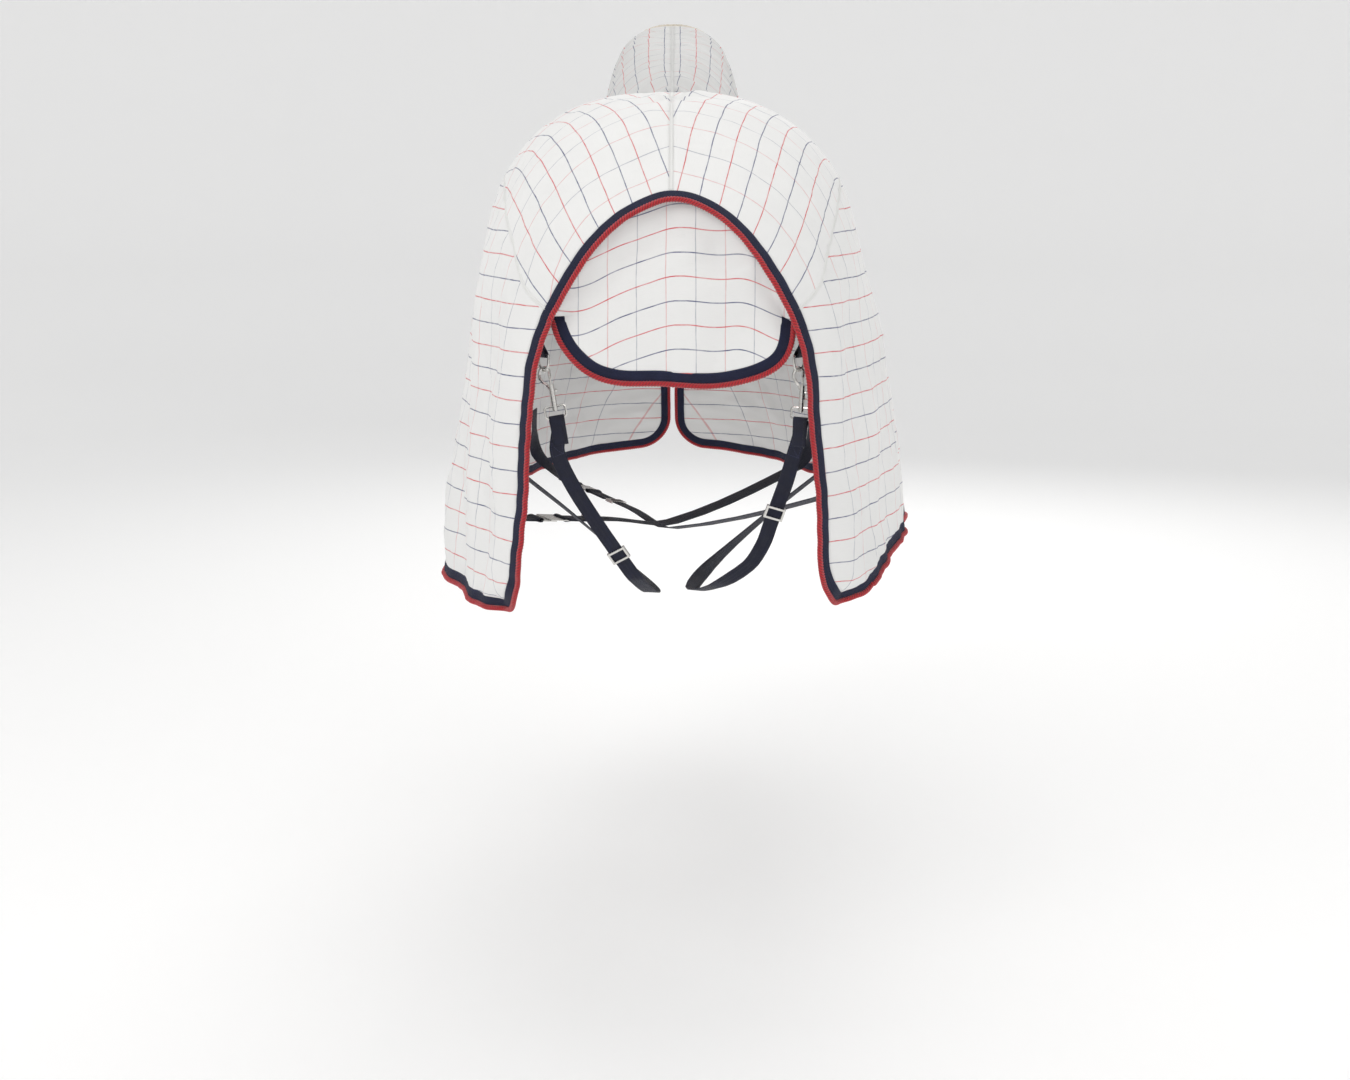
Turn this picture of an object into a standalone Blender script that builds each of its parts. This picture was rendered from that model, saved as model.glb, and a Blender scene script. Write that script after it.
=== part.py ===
"""Horse fly sheet with attached neck cover, shaped as it sits on a standing horse.

Metres, +Z up, +Y towards the horse's head, +X to the horse's right. The body, neck and tail
shapes are written in stable coordinates: heights above the floor, and distances forward from
the rump. place() moves them to the part's frame, whose origin is under the wither pad.
"""

import math

import bmesh
import bpy
from mathutils import Matrix, Vector

# --- driving dimensions -------------------------------------------------------------------
BODY_LENGTH = 1.715       # rump to chest
BODY_WIDTH = 0.690        # across the barrel
CLOTH = 0.0020            # thickness of the cloth panels
GAP = 0.0003              # clearance between pieces that touch
EDGE_GAP = 0.0006         # clearance of the folded binding from the cloth's cut edge
PAD_STAND = 0.0030        # clearance of the padding, whose facets cross the panel's
SPINE_GAP = 0.0004        # half the gap along the spine seam
BINDING_WIDTH = 0.015
BINDING_THICK = 0.0026
ROPE_R = 0.0040
ROPE_LIFT = 0.0020        # how far the rope's centre stands off the cloth's middle
PAD_THICK = 0.010
FLEECE_THICK = 0.007
TAB_STAND = 0.0026        # how far inside the panel the ring tab's webbing is aimed
WEB_WIDTH = 0.025         # leg strap webbing
WEB_THICK = 0.0018
GIRTH_WIDTH = 0.038       # surcingle and chest webbing
RING_WIRE_R = 0.0022
RING_WIDTH = 0.031        # straight bar of a D-ring, between wire centres
RING_DROP = 0.026         # from the bar to the middle of the bow
EYE_WIRE_R = 0.0021
EYE_DROP = 0.021          # from the swivel to the bar that holds the webbing
BOLT_R = 0.0018
BOLT_TRAVEL = 0.009
RUNNING = 0.0003          # clearance of a pin in its hole
PLATE_THICK = 0.0018
ORIGIN_Y = 1.19           # the wither pad's middle, forward of the rump

# Each column of the body shape: top edge, widest point of the side, hem, then how far the
# back is rounded over (1) or the panel hangs straight from the neckline (0).
BODY_COLUMNS = (
    ((0.000, 0.000, 1.370), (0.262, 0.000, 1.130), (0.292, 0.000, 0.760), 1.0),
    ((0.000, 0.100, 1.465), (0.286, 0.100, 1.235), (0.318, 0.100, 0.757), 1.0),
    ((0.000, 0.220, 1.555), (0.318, 0.220, 1.310), (0.365, 0.220, 0.760), 1.0),
    ((0.000, 0.380, 1.600), (0.332, 0.380, 1.340), (0.408, 0.380, 0.765), 1.0),
    ((0.000, 0.620, 1.580), (0.338, 0.620, 1.280), (0.415, 0.620, 0.770), 1.0),
    ((0.000, 0.900, 1.545), (0.345, 0.900, 1.200), (0.405, 0.900, 0.775), 1.0),
    ((0.000, 1.120, 1.585), (0.330, 1.120, 1.170), (0.385, 1.130, 0.780), 1.0),
    ((0.000, 1.270, 1.635), (0.305, 1.290, 1.150), (0.360, 1.320, 0.785), 0.9),
    ((0.115, 1.375, 1.540), (0.290, 1.430, 1.120), (0.320, 1.480, 0.790), 0.4),
    ((0.185, 1.470, 1.400), (0.235, 1.545, 1.070), (0.250, 1.600, 0.800), 0.1),
    ((0.155, 1.580, 1.260), (0.145, 1.625, 1.030), (0.145, 1.680, 0.810), 0.0),
    ((0.027, 1.650, 1.190), (0.027, 1.672, 1.020), (0.027, 1.715, 0.820), 0.0),
)
# The right hem swings out and up as the sheet hangs; the left one hangs straight.
RIGHT_HEM_RISE = (0.0, 0.030, 0.062, 0.080, 0.070, 0.040, 0.015, 0.0, 0.0, 0.0, 0.0, 0.0)
RIGHT_HEM_FLARE = (0.0, 0.005, 0.012, 0.022, 0.020, 0.010, 0.0, 0.0, 0.0, 0.0, 0.0, 0.0)
WITHERS = 7               # column where the spine ends and the neckline starts
CHEST = 11                # column at the middle of the chest
SIDE_ROW = 0.44           # row of the widest point, of 0 at the top to 1 at the hem
ARCH_ROW = {-1: 0.330, 1: 0.350}   # row where the tail arch ends, on each side
ARCH_CUT = 0.60           # how far the arch's crown is cut forward, in columns
ARCH_ROUND = 0.12         # how blunt the crown is, as a share of the arch's reach
HEM_CORNER_ROW = 0.88     # row where the rear corner starts to round
HEM_CORNER_CUT = 0.70     # how far forward that corner reaches, in columns
CHEST_CORNER_CUT = 0.45
CURL = 0.028              # how far the rear edge curls in round the thigh
CURL_REACH = 0.6          # over how many columns

# The neck cover's cross-sections: crest, throat, half-width.
NECK_MIDDLE = ((0.0, 1.600, 1.775), (0.0, 1.810, 1.330), 0.168)
NECK_POLL = ((0.0, 1.950, 1.845), (0.0, 2.030, 1.530), 0.138)
NECK_SQUARENESS = 2.4
CREST_GAP = 0.0010        # half the gap along the crest seam
NECK_SWEEP = 0.955        # how far round to the throat the cover reaches, of half a turn

# The tail flap hangs from the arch and folds along a straight line between its corners.
FOLD_Z = 1.232
FOLD_Y = 0.010
FLAP_BOTTOM_Z = 1.141
FLAP_HALF_TOP = 0.165
FLAP_HALF_BOTTOM = 0.118
FLAP_BACK = 0.012         # the lower edge stands this far behind the fold

COLUMN_STEPS = (0, 0.2, 0.4, 0.7, 1, 1.5, 2, 2.5, 3, 3.5, 4, 4.5, 5, 5.5, 6, 6.5,
                7, 7.35, 7.7, 8, 8.4, 8.8, 9.2, 9.6, 10, 10.35, 10.7, 11)
NECK_COLUMNS = tuple(c for c in COLUMN_STEPS if c >= WITHERS)
NECK_ROWS = 8
ARCH_CELLS = 6
CORNER_ROWS = (0.92, 0.95, 0.975, 0.992, 1.0)

SIDES = {"left": -1, "right": 1}


# --- scene and materials ------------------------------------------------------------------
for old in list(bpy.data.objects):
    bpy.data.objects.remove(old)

PARTS = bpy.data.collections.new("fly_sheet")
CUTTERS = bpy.data.collections.new("cutters")
for collection in (PARTS, CUTTERS):
    bpy.context.scene.collection.children.link(collection)


def material(name, colour, roughness, metallic=0.0):
    made = bpy.data.materials.new(name)
    made.use_nodes = True
    shader = made.node_tree.nodes["Principled BSDF"]
    shader.inputs["Base Color"].default_value = (*colour, 1.0)
    shader.inputs["Roughness"].default_value = roughness
    shader.inputs["Metallic"].default_value = metallic
    return made


WHITE_CLOTH = material("white_check_cloth", (0.86, 0.86, 0.85), 0.85)
NAVY_BINDING = material("navy_binding", (0.016, 0.020, 0.055), 0.80)
RED_ROPE = material("red_rope", (0.62, 0.020, 0.035), 0.65)
NAVY_WEBBING = material("navy_webbing", (0.010, 0.013, 0.040), 0.75)
STEEL = material("nickel_plated_steel", (0.62, 0.61, 0.58), 0.25, 1.0)
FLEECE = material("cream_fleece", (0.78, 0.70, 0.58), 0.95)


# --- small maths --------------------------------------------------------------------------
def monotone(values, u):
    """A smooth curve through evenly spaced values that never overshoots them."""
    last = len(values) - 1
    i = min(int(u), last - 1)
    t = u - i

    def slope(k):
        if k in (0, last):
            return 0.5 * (values[min(k + 1, last)] - values[max(k - 1, 0)]) * 2
        before, after = values[k] - values[k - 1], values[k + 1] - values[k]
        return 0.0 if before * after <= 0 else 2 * before * after / (before + after)

    a, b = values[i], values[i + 1]
    return (
        (2 * t**3 - 3 * t**2 + 1) * a
        + (t**3 - 2 * t**2 + t) * slope(i)
        + (3 * t**2 - 2 * t**3) * b
        + (t**3 - t**2) * slope(i + 1)
    )


def bezier(a, b, c, d, t):
    s = 1 - t
    return a * s**3 + b * (3 * s * s * t) + c * (3 * s * t * t) + d * t**3


def smoothstep(x):
    x = min(max(x, 0.0), 1.0)
    return x * x * (3 - 2 * x)


def steps(start, end, count):
    return [start + (end - start) * i / count for i in range(count + 1)]


def place(p):
    """Stable coordinates to the part's frame, at the sheet's own length and width."""
    return Vector((p[0] * BODY_WIDTH / 0.690, p[1] * BODY_LENGTH / 1.715, p[2])) - ORIGIN


# --- the body's shape ---------------------------------------------------------------------
def column(side, u):
    """Top, side and hem points of the body at column u, in stable coordinates."""
    points = []
    for k in range(3):
        x, y, z = (monotone([c[k][axis] for c in BODY_COLUMNS], u) for axis in range(3))
        points.append(Vector((max(x, SPINE_GAP), y, z)))
    if side > 0:
        points[2].z += monotone(RIGHT_HEM_RISE, u)
        points[2].x += monotone(RIGHT_HEM_FLARE, u)
    return points


def body_shape(side, u, v):
    """Middle of the cloth at column u and row v, in stable coordinates."""
    top, flank, hem = column(side, u)
    crown = monotone([c[3] for c in BODY_COLUMNS], u)
    across, drop = flank - top, top.z - flank.z
    if v <= SIDE_ROW:
        near, far = 0.25 + 0.36 * crown, 0.70 + 0.21 * crown
        first = Vector((top.x + near * across.x, top.y + near * across.y, top.z))
        first.z += 0.005 * crown - 0.30 * drop * (1 - crown)
        second = Vector((top.x + far * across.x, top.y + far * across.y, flank.z))
        second.z += drop * (0.30 + 0.315 * crown)
        p = bezier(top, first, second, flank, v / SIDE_ROW)
    else:
        fall = hem - flank
        first = flank + Vector((0.25 * fall.x, 0.25 * fall.y, 0.25 * fall.z))
        second = flank + Vector((0.81 * fall.x, 0.70 * fall.y, 0.60 * fall.z))
        p = bezier(flank, first, second, hem, (v - SIDE_ROW) / (1 - SIDE_ROW))
    return Vector((side * p.x, p.y, p.z))


def round_off(v, start):
    """0 above the corner, then a quarter circle that reaches 1 at the hem."""
    if v <= start:
        return 0.0
    return 1 - math.sqrt(max(0.0, 1 - ((v - start) / (1 - start)) ** 2))


def cut_column(side, u, v):
    """Column u moved so that the first follows the rear edge and the last the chest edge."""
    reach = min(1.0, math.hypot(v / (0.8 * ARCH_ROW[side]), ARCH_ROUND) - ARCH_ROUND)
    arch = ARCH_CUT * (1 - reach) ** 2
    rear = arch + HEM_CORNER_CUT * round_off(v, HEM_CORNER_ROW)
    front = CHEST_CORNER_CUT * round_off(v, HEM_CORNER_ROW)
    return u + rear * max(0.0, 1 - u / 2) - front * max(0.0, (u - 9.2) / (CHEST - 9.2))


def body_point(side, u, v, lift=0.0):
    """A point on the trimmed body panel, lift metres outside the cloth's middle."""
    p = place(body_shape(side, cut_column(side, u, v), v))
    p.x -= side * CURL * max(0.0, 1 - u / CURL_REACH) ** 2 * smoothstep(v / 0.3)
    return p + body_normal(side, u, v) * lift if lift else p


def body_normal(side, u, v):
    u0, u1 = max(u - 0.02, 0), min(u + 0.02, CHEST)
    v0, v1 = max(v - 0.004, 0), min(v + 0.004, 1)
    along = body_point(side, u1, v) - body_point(side, u0, v)
    down = body_point(side, u, v1) - body_point(side, u, v0)
    return (along.cross(down) * -side).normalized()


ORIGIN = Vector((0, 0, 0))
SEAT = body_shape(1, 6 + (ORIGIN_Y - 1.12) / 0.15, 0)
ORIGIN = Vector((0, place((0, ORIGIN_Y, 0)).y, SEAT.z - CLOTH / 2 - PAD_STAND - PAD_THICK))


def body_rows(side):
    arch = ARCH_ROW[side]
    return steps(0, arch, ARCH_CELLS) + steps(arch, HEM_CORNER_ROW, 8)[1:] + list(CORNER_ROWS)


# --- the neck's shape ---------------------------------------------------------------------
def neck_ring(section, p):
    """Half of a squarish oval, from the crest at p = 0 to the throat at p = 1."""
    crest, throat, half = Vector(section[0]), Vector(section[1]), section[2]
    angle = math.pi * NECK_SWEEP * p
    power = 2 / NECK_SQUARENESS
    across = math.sin(angle) ** power if p > 0 else 0.0
    along = math.copysign(abs(math.cos(angle)) ** power, math.cos(angle))
    middle, reach = (crest + throat) / 2, (crest - throat) / 2
    point = middle + reach * along
    return Vector((half * across, point.y, point.z))


def neck_point(side, u, q, lift=0.0):
    """A point of the neck cover at neckline column u, q of the way to the poll."""
    p = (u - WITHERS) / (CHEST - WITHERS)
    base, middle, poll = column(1, u)[0], neck_ring(NECK_MIDDLE, p), neck_ring(NECK_POLL, p)
    point = base * (1 - q) * (1 - 2 * q) + middle * 4 * q * (1 - q) + poll * q * (2 * q - 1)
    point.x = side * max(point.x, CREST_GAP)
    point = place(point)
    return point + neck_normal(side, u, q) * lift if lift else point


def neck_normal(side, u, q):
    u0, u1 = max(u - 0.05, WITHERS), min(u + 0.05, CHEST)
    q0, q1 = max(q - 0.01, 0), min(q + 0.01, 1)
    along = neck_point(side, u, q1) - neck_point(side, u, q0)
    round_ = neck_point(side, u1, q) - neck_point(side, u0, q)
    return (along.cross(round_) * -side).normalized()


# --- object makers ------------------------------------------------------------------------
def add(name, data, finish, collection=PARTS):
    made = bpy.data.objects.new(name, data)
    collection.objects.link(made)
    data.materials.append(finish)
    return made


def mesh_object(name, work, finish, collection=PARTS):
    bmesh.ops.recalc_face_normals(work, faces=work.faces)
    if work.calc_volume(signed=True) < 0:
        bmesh.ops.reverse_faces(work, faces=work.faces)
    data = bpy.data.meshes.new(name)
    work.to_mesh(data)
    work.free()
    return add(name, data, finish, collection)


def sheet(name, finish, rows, thickness, offset=0.0):
    """A sheet through rows of points, given its thickness about them."""
    count, width = len(rows), len(rows[0])
    work = bmesh.new()
    bmesh.ops.create_grid(work, x_segments=width - 1, y_segments=count - 1, size=0.5)
    work.verts.ensure_lookup_table()
    for vertex in work.verts:
        i = round((vertex.co.y + 0.5) * (count - 1))
        j = round((vertex.co.x + 0.5) * (width - 1))
        vertex.co = rows[i][j]
    made = mesh_object(name, work, finish)
    solid = made.modifiers.new("thickness", "SOLIDIFY")
    solid.thickness = thickness
    solid.offset = offset
    solid.use_even_offset = True
    made.data.shade_smooth()
    return made


def tube(name, finish, points, radius, resolution=1, cyclic=False):
    """A wire or rope along points."""
    data = bpy.data.curves.new(name, "CURVE")
    data.dimensions = "3D"
    data.bevel_depth = radius
    data.bevel_resolution = resolution
    data.use_fill_caps = True
    spline = data.splines.new("POLY")
    spline.points.add(len(points) - 1)
    for target, point in zip(spline.points, points):
        target.co = (*point, 1.0)
    spline.use_cyclic_u = cyclic
    return add(name, data, finish)


def as_mesh(curve_object):
    """The tube as a closed mesh, so that it can be cut or joined."""
    bpy.context.view_layer.update()
    graph = bpy.context.evaluated_depsgraph_get()
    data = bpy.data.meshes.new_from_object(curve_object.evaluated_get(graph))
    work = bmesh.new()
    work.from_mesh(data)
    bmesh.ops.remove_doubles(work, verts=work.verts, dist=1e-6)
    work.transform(curve_object.matrix_world)
    name, finish = curve_object.name, curve_object.data.materials[0]
    bpy.data.objects.remove(curve_object)
    return mesh_object(name, work, finish)


def cylinder(name, finish, radius, low, high, at=Matrix.Identity(4), sides=12):
    """A cylinder along the local Z axis from low to high."""
    work = bmesh.new()
    bmesh.ops.create_cone(
        work, cap_ends=True, segments=sides, radius1=radius, radius2=radius, depth=high - low
    )
    work.transform(at @ Matrix.Translation((0, 0, (low + high) / 2)))
    return mesh_object(name, work, finish)


def box(name, finish, low, high, at=Matrix.Identity(4)):
    work = bmesh.new()
    bmesh.ops.create_cube(work, size=1.0)
    size = Vector(high) - Vector(low)
    middle = (Vector(high) + Vector(low)) / 2
    work.transform(at @ Matrix.Translation(middle) @ Matrix.Diagonal((*size, 1.0)))
    return mesh_object(name, work, finish)


def combine(target, others, operation):
    """Joins the others to the target or cuts them from it, and keeps them as hidden helpers."""
    for other in others:
        PARTS.objects.unlink(other)
        CUTTERS.objects.link(other)
        other.hide_render = True
        other.display_type = "WIRE"
        step = target.modifiers.new(operation.lower(), "BOOLEAN")
        step.operation = operation
        step.object = other
    return target


# --- cloth panels -------------------------------------------------------------------------
def body_panel(word):
    side = SIDES[word]
    rows = [[body_point(side, u, v) for u in COLUMN_STEPS] for v in body_rows(side)]
    return sheet(f"body_panel_{word}", WHITE_CLOTH, rows, CLOTH)


def neck_panel(word):
    side = SIDES[word]
    seam = 0.0012          # the seam allowance left between the neckline and the neck cover
    rows = []
    for q in steps(0, 1, NECK_ROWS):
        rows.append([neck_point(side, u, q) for u in NECK_COLUMNS])
    for j, point in enumerate(rows[0]):
        point += (rows[1][j] - point).normalized() * seam
    return sheet(f"neck_panel_{word}", WHITE_CLOTH, rows, CLOTH)


# --- edges --------------------------------------------------------------------------------
def edge_frames(points, normals, towards):
    """For each point of an edge, the outward direction in the cloth, mitred at corners."""
    frames = []
    last = len(points) - 1
    for i, (point, normal) in enumerate(zip(points, normals)):
        before = (point - points[i - 1]).normalized() if i > 0 else None
        after = (points[i + 1] - point).normalized() if i < last else None
        outs = [d.cross(normal).normalized() * towards for d in (before, after) if d]
        out = sum(outs, Vector()).normalized()
        frames.append((point, out / max(out.dot(outs[0]), 0.5), normal))
    return frames


def shortened(points, start, end):
    """The same path with its ends drawn in along it."""
    points = [p.copy() for p in points]
    if start:
        points[0] += (points[1] - points[0]).normalized() * start
    if end:
        points[-1] += (points[-2] - points[-1]).normalized() * end
    return points


def offset(frames, out, lift=0.0):
    return [point + away * out + normal * lift for point, away, normal in frames]


def bind_edge(name, frames, ends=(GAP, GAP), flat=NAVY_BINDING, round_=RED_ROPE):
    """The folded braid along an edge, and the rope sewn to its outer side."""
    inner = shortened(offset(frames, EDGE_GAP), *ends)
    outer = shortened(offset(frames, EDGE_GAP + BINDING_WIDTH), *ends)
    sheet(f"{name}_binding", flat, [inner, outer], BINDING_THICK)
    rope_out = EDGE_GAP + BINDING_WIDTH + GAP + ROPE_R
    rope = shortened(offset(frames, rope_out, ROPE_LIFT), ends[0] + ROPE_R / 2, ends[1] + ROPE_R / 2)
    tube(f"{name}_rope", round_, rope, ROPE_R)


def rear_edge(side, first, last):
    """Points and normals down the rear edge between two of the body's rows."""
    rows = body_rows(side)[first:last]
    return [body_point(side, 0, v) for v in rows], [body_normal(side, 0, v) for v in rows]


def hem_trim(word):
    """From the tail flap's corner down the rear edge, along the hem and up the chest."""
    side = SIDES[word]
    rows = body_rows(side)
    points, normals = rear_edge(side, ARCH_CELLS - 1, None)
    for u in COLUMN_STEPS[1:]:
        points.append(body_point(side, u, 1))
        normals.append(body_normal(side, u, 1))
    for v in reversed(rows[:-1]):
        points.append(body_point(side, CHEST, v))
        normals.append(body_normal(side, CHEST, v))
    frames = edge_frames(points, normals, side)[1:]
    bind_edge(f"hem_{word}", frames)


def arch_trim():
    """Over the tail, from the left corner to the right one."""
    left = rear_edge(-1, 0, ARCH_CELLS + 2)
    right = rear_edge(1, 0, ARCH_CELLS + 2)
    points = list(reversed(left[0])) + right[0][1:]
    normals = list(reversed(left[1])) + right[1][1:]
    points[len(left[0]) - 1] = (left[0][0] + right[0][0]) / 2
    normals[len(left[0]) - 1] = (left[1][0] + right[1][0]).normalized()
    frames = edge_frames(points, normals, 1)[1:-1]
    bind_edge("arch", frames)
    return frames


def neck_trim():
    """A fleece edge and roll round the poll, and braid along each edge of the throat opening."""
    samples = [(-1, u, 1) for u in reversed(NECK_COLUMNS)] + [(1, u, 1) for u in NECK_COLUMNS]
    points = [neck_point(*s) for s in samples]
    normals = [neck_normal(*s) for s in samples]
    del points[len(NECK_COLUMNS)], normals[len(NECK_COLUMNS)]
    bind_edge("poll", edge_frames(points, normals, -1), flat=FLEECE, round_=FLEECE)
    for word, side in SIDES.items():
        samples = [(side, CHEST, q) for q in steps(0.03, 0.99, NECK_ROWS)]
        points = [neck_point(*s) for s in samples]
        normals = [neck_normal(*s) for s in samples]
        bind_edge(f"throat_{word}", edge_frames(points, normals, side))


# --- tail flap ----------------------------------------------------------------------------
def flap_floor(x):
    """Height of the flap's cloth at its lower edge, level in the middle and cut off at the corners."""
    beyond = max(0.0, abs(x) - FLAP_HALF_BOTTOM) / (FLAP_HALF_TOP - FLAP_HALF_BOTTOM)
    return FLAP_BOTTOM_Z + (FOLD_Z - 0.014 - FLAP_BOTTOM_Z) * beyond**1.3


FLAP_CENTRE = 0.016       # the flap hangs this far to the right, as the sheet has slipped
FLAP_COLUMNS = 12


def tail_gusset(arch):
    """The cloth between the arch and the fold, tucked under the arch's binding."""
    under = ROPE_R - ROPE_LIFT + GAP + CLOTH / 2
    top = offset(arch, BINDING_WIDTH * 0.45, -under)[1:-1]
    rows = []
    for t in steps(0, 1, 4):
        row = []
        for p in top:
            foot = place((0, FOLD_Y, FOLD_Z))
            foot.x = p.x * 0.97
            lean = smoothstep(t)
            row.append(Vector((p.x + (foot.x - p.x) * t,
                               p.y + (foot.y - p.y) * lean,
                               p.z + (foot.z + GAP - p.z) * t)))
        rows.append(row)
    return sheet("tail_gusset", WHITE_CLOTH, rows, CLOTH)


def flap_point(x, t):
    bottom = flap_floor(x)
    z = FOLD_Z - GAP + (bottom - FOLD_Z + GAP) * t
    y = FOLD_Y - FLAP_BACK * (FOLD_Z - z) / (FOLD_Z - FLAP_BOTTOM_Z)
    return place((x + FLAP_CENTRE, y, z))


def tail_flap():
    xs = steps(-FLAP_HALF_TOP, FLAP_HALF_TOP, FLAP_COLUMNS)
    rows = [[flap_point(x, t) for x in xs] for t in steps(0, 1, 4)]
    sheet("tail_flap", WHITE_CLOTH, rows, CLOTH)
    points = [flap_point(-FLAP_HALF_TOP, 0)] + [flap_point(x, 1) for x in xs]
    points += [flap_point(FLAP_HALF_TOP, 0)]
    normal = (points[2] - points[1]).cross(points[0] - points[1]).normalized()
    normal = Vector((0, -1, 0)) if normal.y > 0 else normal
    frames = edge_frames(points, [normal] * len(points), 1)
    bind_edge("flap", frames)


# --- padding ------------------------------------------------------------------------------
def wither_pad():
    """Fleece under the withers, over both sides of the spine."""
    under = CLOTH / 2 + PAD_STAND + PAD_THICK / 2
    rows = []
    for u in (5.5, 6, 6.5, 7):
        left = [body_point(-1, u, v, -under) for v in reversed(body_rows(-1)[1:4])]
        right = [body_point(1, u, v, -under) for v in body_rows(1)[1:4]]
        ridge = body_point(1, u, 0, -under)
        rows.append(left + [Vector((0, ridge.y, ridge.z))] + right)
    return sheet("wither_pad", FLEECE, rows, PAD_THICK)


def poll_fleece():
    """Fleece inside the front edge of the neck cover, over the crest."""
    under = CLOTH / 2 + PAD_STAND / 2 + FLEECE_THICK / 2
    rows = []
    for q in steps(1 - 1 / NECK_ROWS, 1, 1):
        left = [neck_point(-1, u, q, -under) for u in reversed(NECK_COLUMNS[1:6])]
        right = [neck_point(1, u, q, -under) for u in NECK_COLUMNS[1:6]]
        ridge = neck_point(1, WITHERS, q, -under)
        rows.append(left + [Vector((0, ridge.y, ridge.z))] + right)
    return sheet("poll_fleece", FLEECE, rows, FLEECE_THICK)


# --- webbing ------------------------------------------------------------------------------
def webbing(name, path, across, width, thickness=WEB_THICK):
    """A strap along a path. across gives the direction of its width at each point."""
    rows = []
    last = len(path) - 1
    for i, (point, wide) in enumerate(zip(path, across)):
        along = (path[min(i + 1, last)] - path[max(i - 1, 0)]).normalized()
        wide = (wide - along * wide.dot(along)).normalized()
        rows.append([point - wide * width / 2, point + wide * width / 2])
    return sheet(name, NAVY_WEBBING, rows, thickness)


def wrap(bar, run, normal, wire, tail):
    """Strap points from the tail's end, round a bar, to where the strap runs on alone."""
    reach = wire + GAP + WEB_THICK / 2
    layer = WEB_THICK + GAP
    points = [(tail, -layer), (0.014, -layer), (0.006, -0.95 * reach)]
    points += [(-reach * math.sin(a), -reach * math.cos(a)) for a in steps(0, math.pi, 8)]
    points += [(0.007, 0.86 * reach), (0.015, 0.0), (0.024, 0.0)]
    return [bar + run * a + normal * b for a, b in points]


def curve_through(points, per_span=4):
    """A smooth path through points, however unevenly they are spaced."""
    last = len(points) - 1
    spans = [(b - a).length for a, b in zip(points, points[1:])]

    def slope(i):
        a, b = max(i - 1, 0), min(i + 1, last)
        return (points[b] - points[a]) / sum(spans[a:b])

    path = []
    for i, span in enumerate(spans):
        for t in steps(0, 1, per_span)[:-1]:
            path.append(points[i] * (2 * t**3 - 3 * t**2 + 1) + points[i + 1] * (3 * t**2 - 2 * t**3)
                        + slope(i) * span * (t**3 - 2 * t**2 + t)
                        + slope(i + 1) * span * (t**3 - t**2))
    return path + [points[-1]]


def spread(values, per_span):
    """Directions between the given ones, to match a path made by curve_through."""
    out = []
    for a, b in zip(values, values[1:]):
        out += [a.lerp(b, t) for t in steps(0, 1, per_span)[:-1]]
    return out + [values[-1]]


def frame(origin, z, x):
    """A local frame with the given Z axis, and X as near as it can be to the one given."""
    z = z.normalized()
    x = (x - z * x.dot(z)).normalized()
    y = z.cross(x)
    turned = Matrix((x, y, z)).transposed().to_4x4()
    return Matrix.Translation(origin) @ turned


def in_frame(at, points):
    return [at @ Vector(p) for p in points]


# --- leg strap fittings -------------------------------------------------------------------
def ring_tab(word, bar, axis, toward):
    """Webbing folded round the D-ring's bar, its upper end sewn inside the panel."""
    side = SIDES[word]
    u, v = TAB_PLACE
    sewn = [body_point(side, u, row, -lift) for row, lift in ((v, 0.0102), (v - 0.02, 0.0084),
                                                              (v - 0.04, 0.0062))]
    up = (toward - bar).normalized()
    path = wrap(bar, up, axis.cross(up) * side, RING_WIRE_R, 0.020)
    count = len(path)
    path += curve_through([path[-1]] + sewn, 3)[1:]
    level = (body_point(side, u + 0.1, v) - body_point(side, u - 0.1, v)).normalized()
    across = [axis] * count + spread([axis, level, level, level], 3)[1:]
    return webbing(f"ring_tab_{word}", path, across, 0.022)


def d_ring(word, at):
    """Bar along local Y, bow below it."""
    half = RING_WIDTH / 2
    outline = [(0, -half, 0), (0, -half / 2, 0), (0, half / 2, 0), (0, half, 0)]
    for a in steps(0, math.pi, 10):
        outline.append((0, half * math.cos(a) * 1.04, -0.006 - (RING_DROP - 0.006) * math.sin(a)))
    return tube(f"d_ring_{word}", STEEL, in_frame(at, outline), RING_WIRE_R, 2, True)


HOOK_PATH = (
    (-0.0032, 0.027), (-0.0065, 0.0335), (-0.0120, 0.0385), (-0.0162, 0.0450),
    (-0.0168, 0.0520), (-0.0140, 0.0585), (-0.0080, 0.0620), (-0.0020, 0.0603),
    (0.0006, 0.0555), (0.0002, 0.0505), (0.0, 0.0465),
)
HOOK_WIRE_R = 0.0026
BARREL_R = 0.0046
BARREL = (0.004, 0.034)
HOOK_SEAT = (-0.0080, 0.0620 - HOOK_WIRE_R - RING_WIRE_R - 0.0010)   # where the ring lies


def snap_hook(word, at):
    """Barrel with the hook on one side and the swivel post below, bored for the bolt."""
    hook = cylinder(f"snap_hook_{word}", STEEL, BARREL_R, *BARREL, at)
    path = [(x, 0, z) for x, z in HOOK_PATH]
    arm = as_mesh(tube("hook_arm", STEEL, in_frame(at, path), HOOK_WIRE_R, 1))
    post = cylinder("swivel_post", STEEL, 0.0021, -0.009, 0.006, at)
    head = cylinder("swivel_head", STEEL, 0.0036, -0.0100, -0.0080, at)
    bore = cylinder("bolt_bore", STEEL, BOLT_R + RUNNING, 0.0075, 0.040, at)
    slot = box("knob_slot", STEEL, (0.0, -0.0018, 0.0110), (0.010, 0.0018, 0.0245), at)
    combine(hook, [arm, post, head], "UNION")
    return combine(hook, [bore, slot], "DIFFERENCE")


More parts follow.
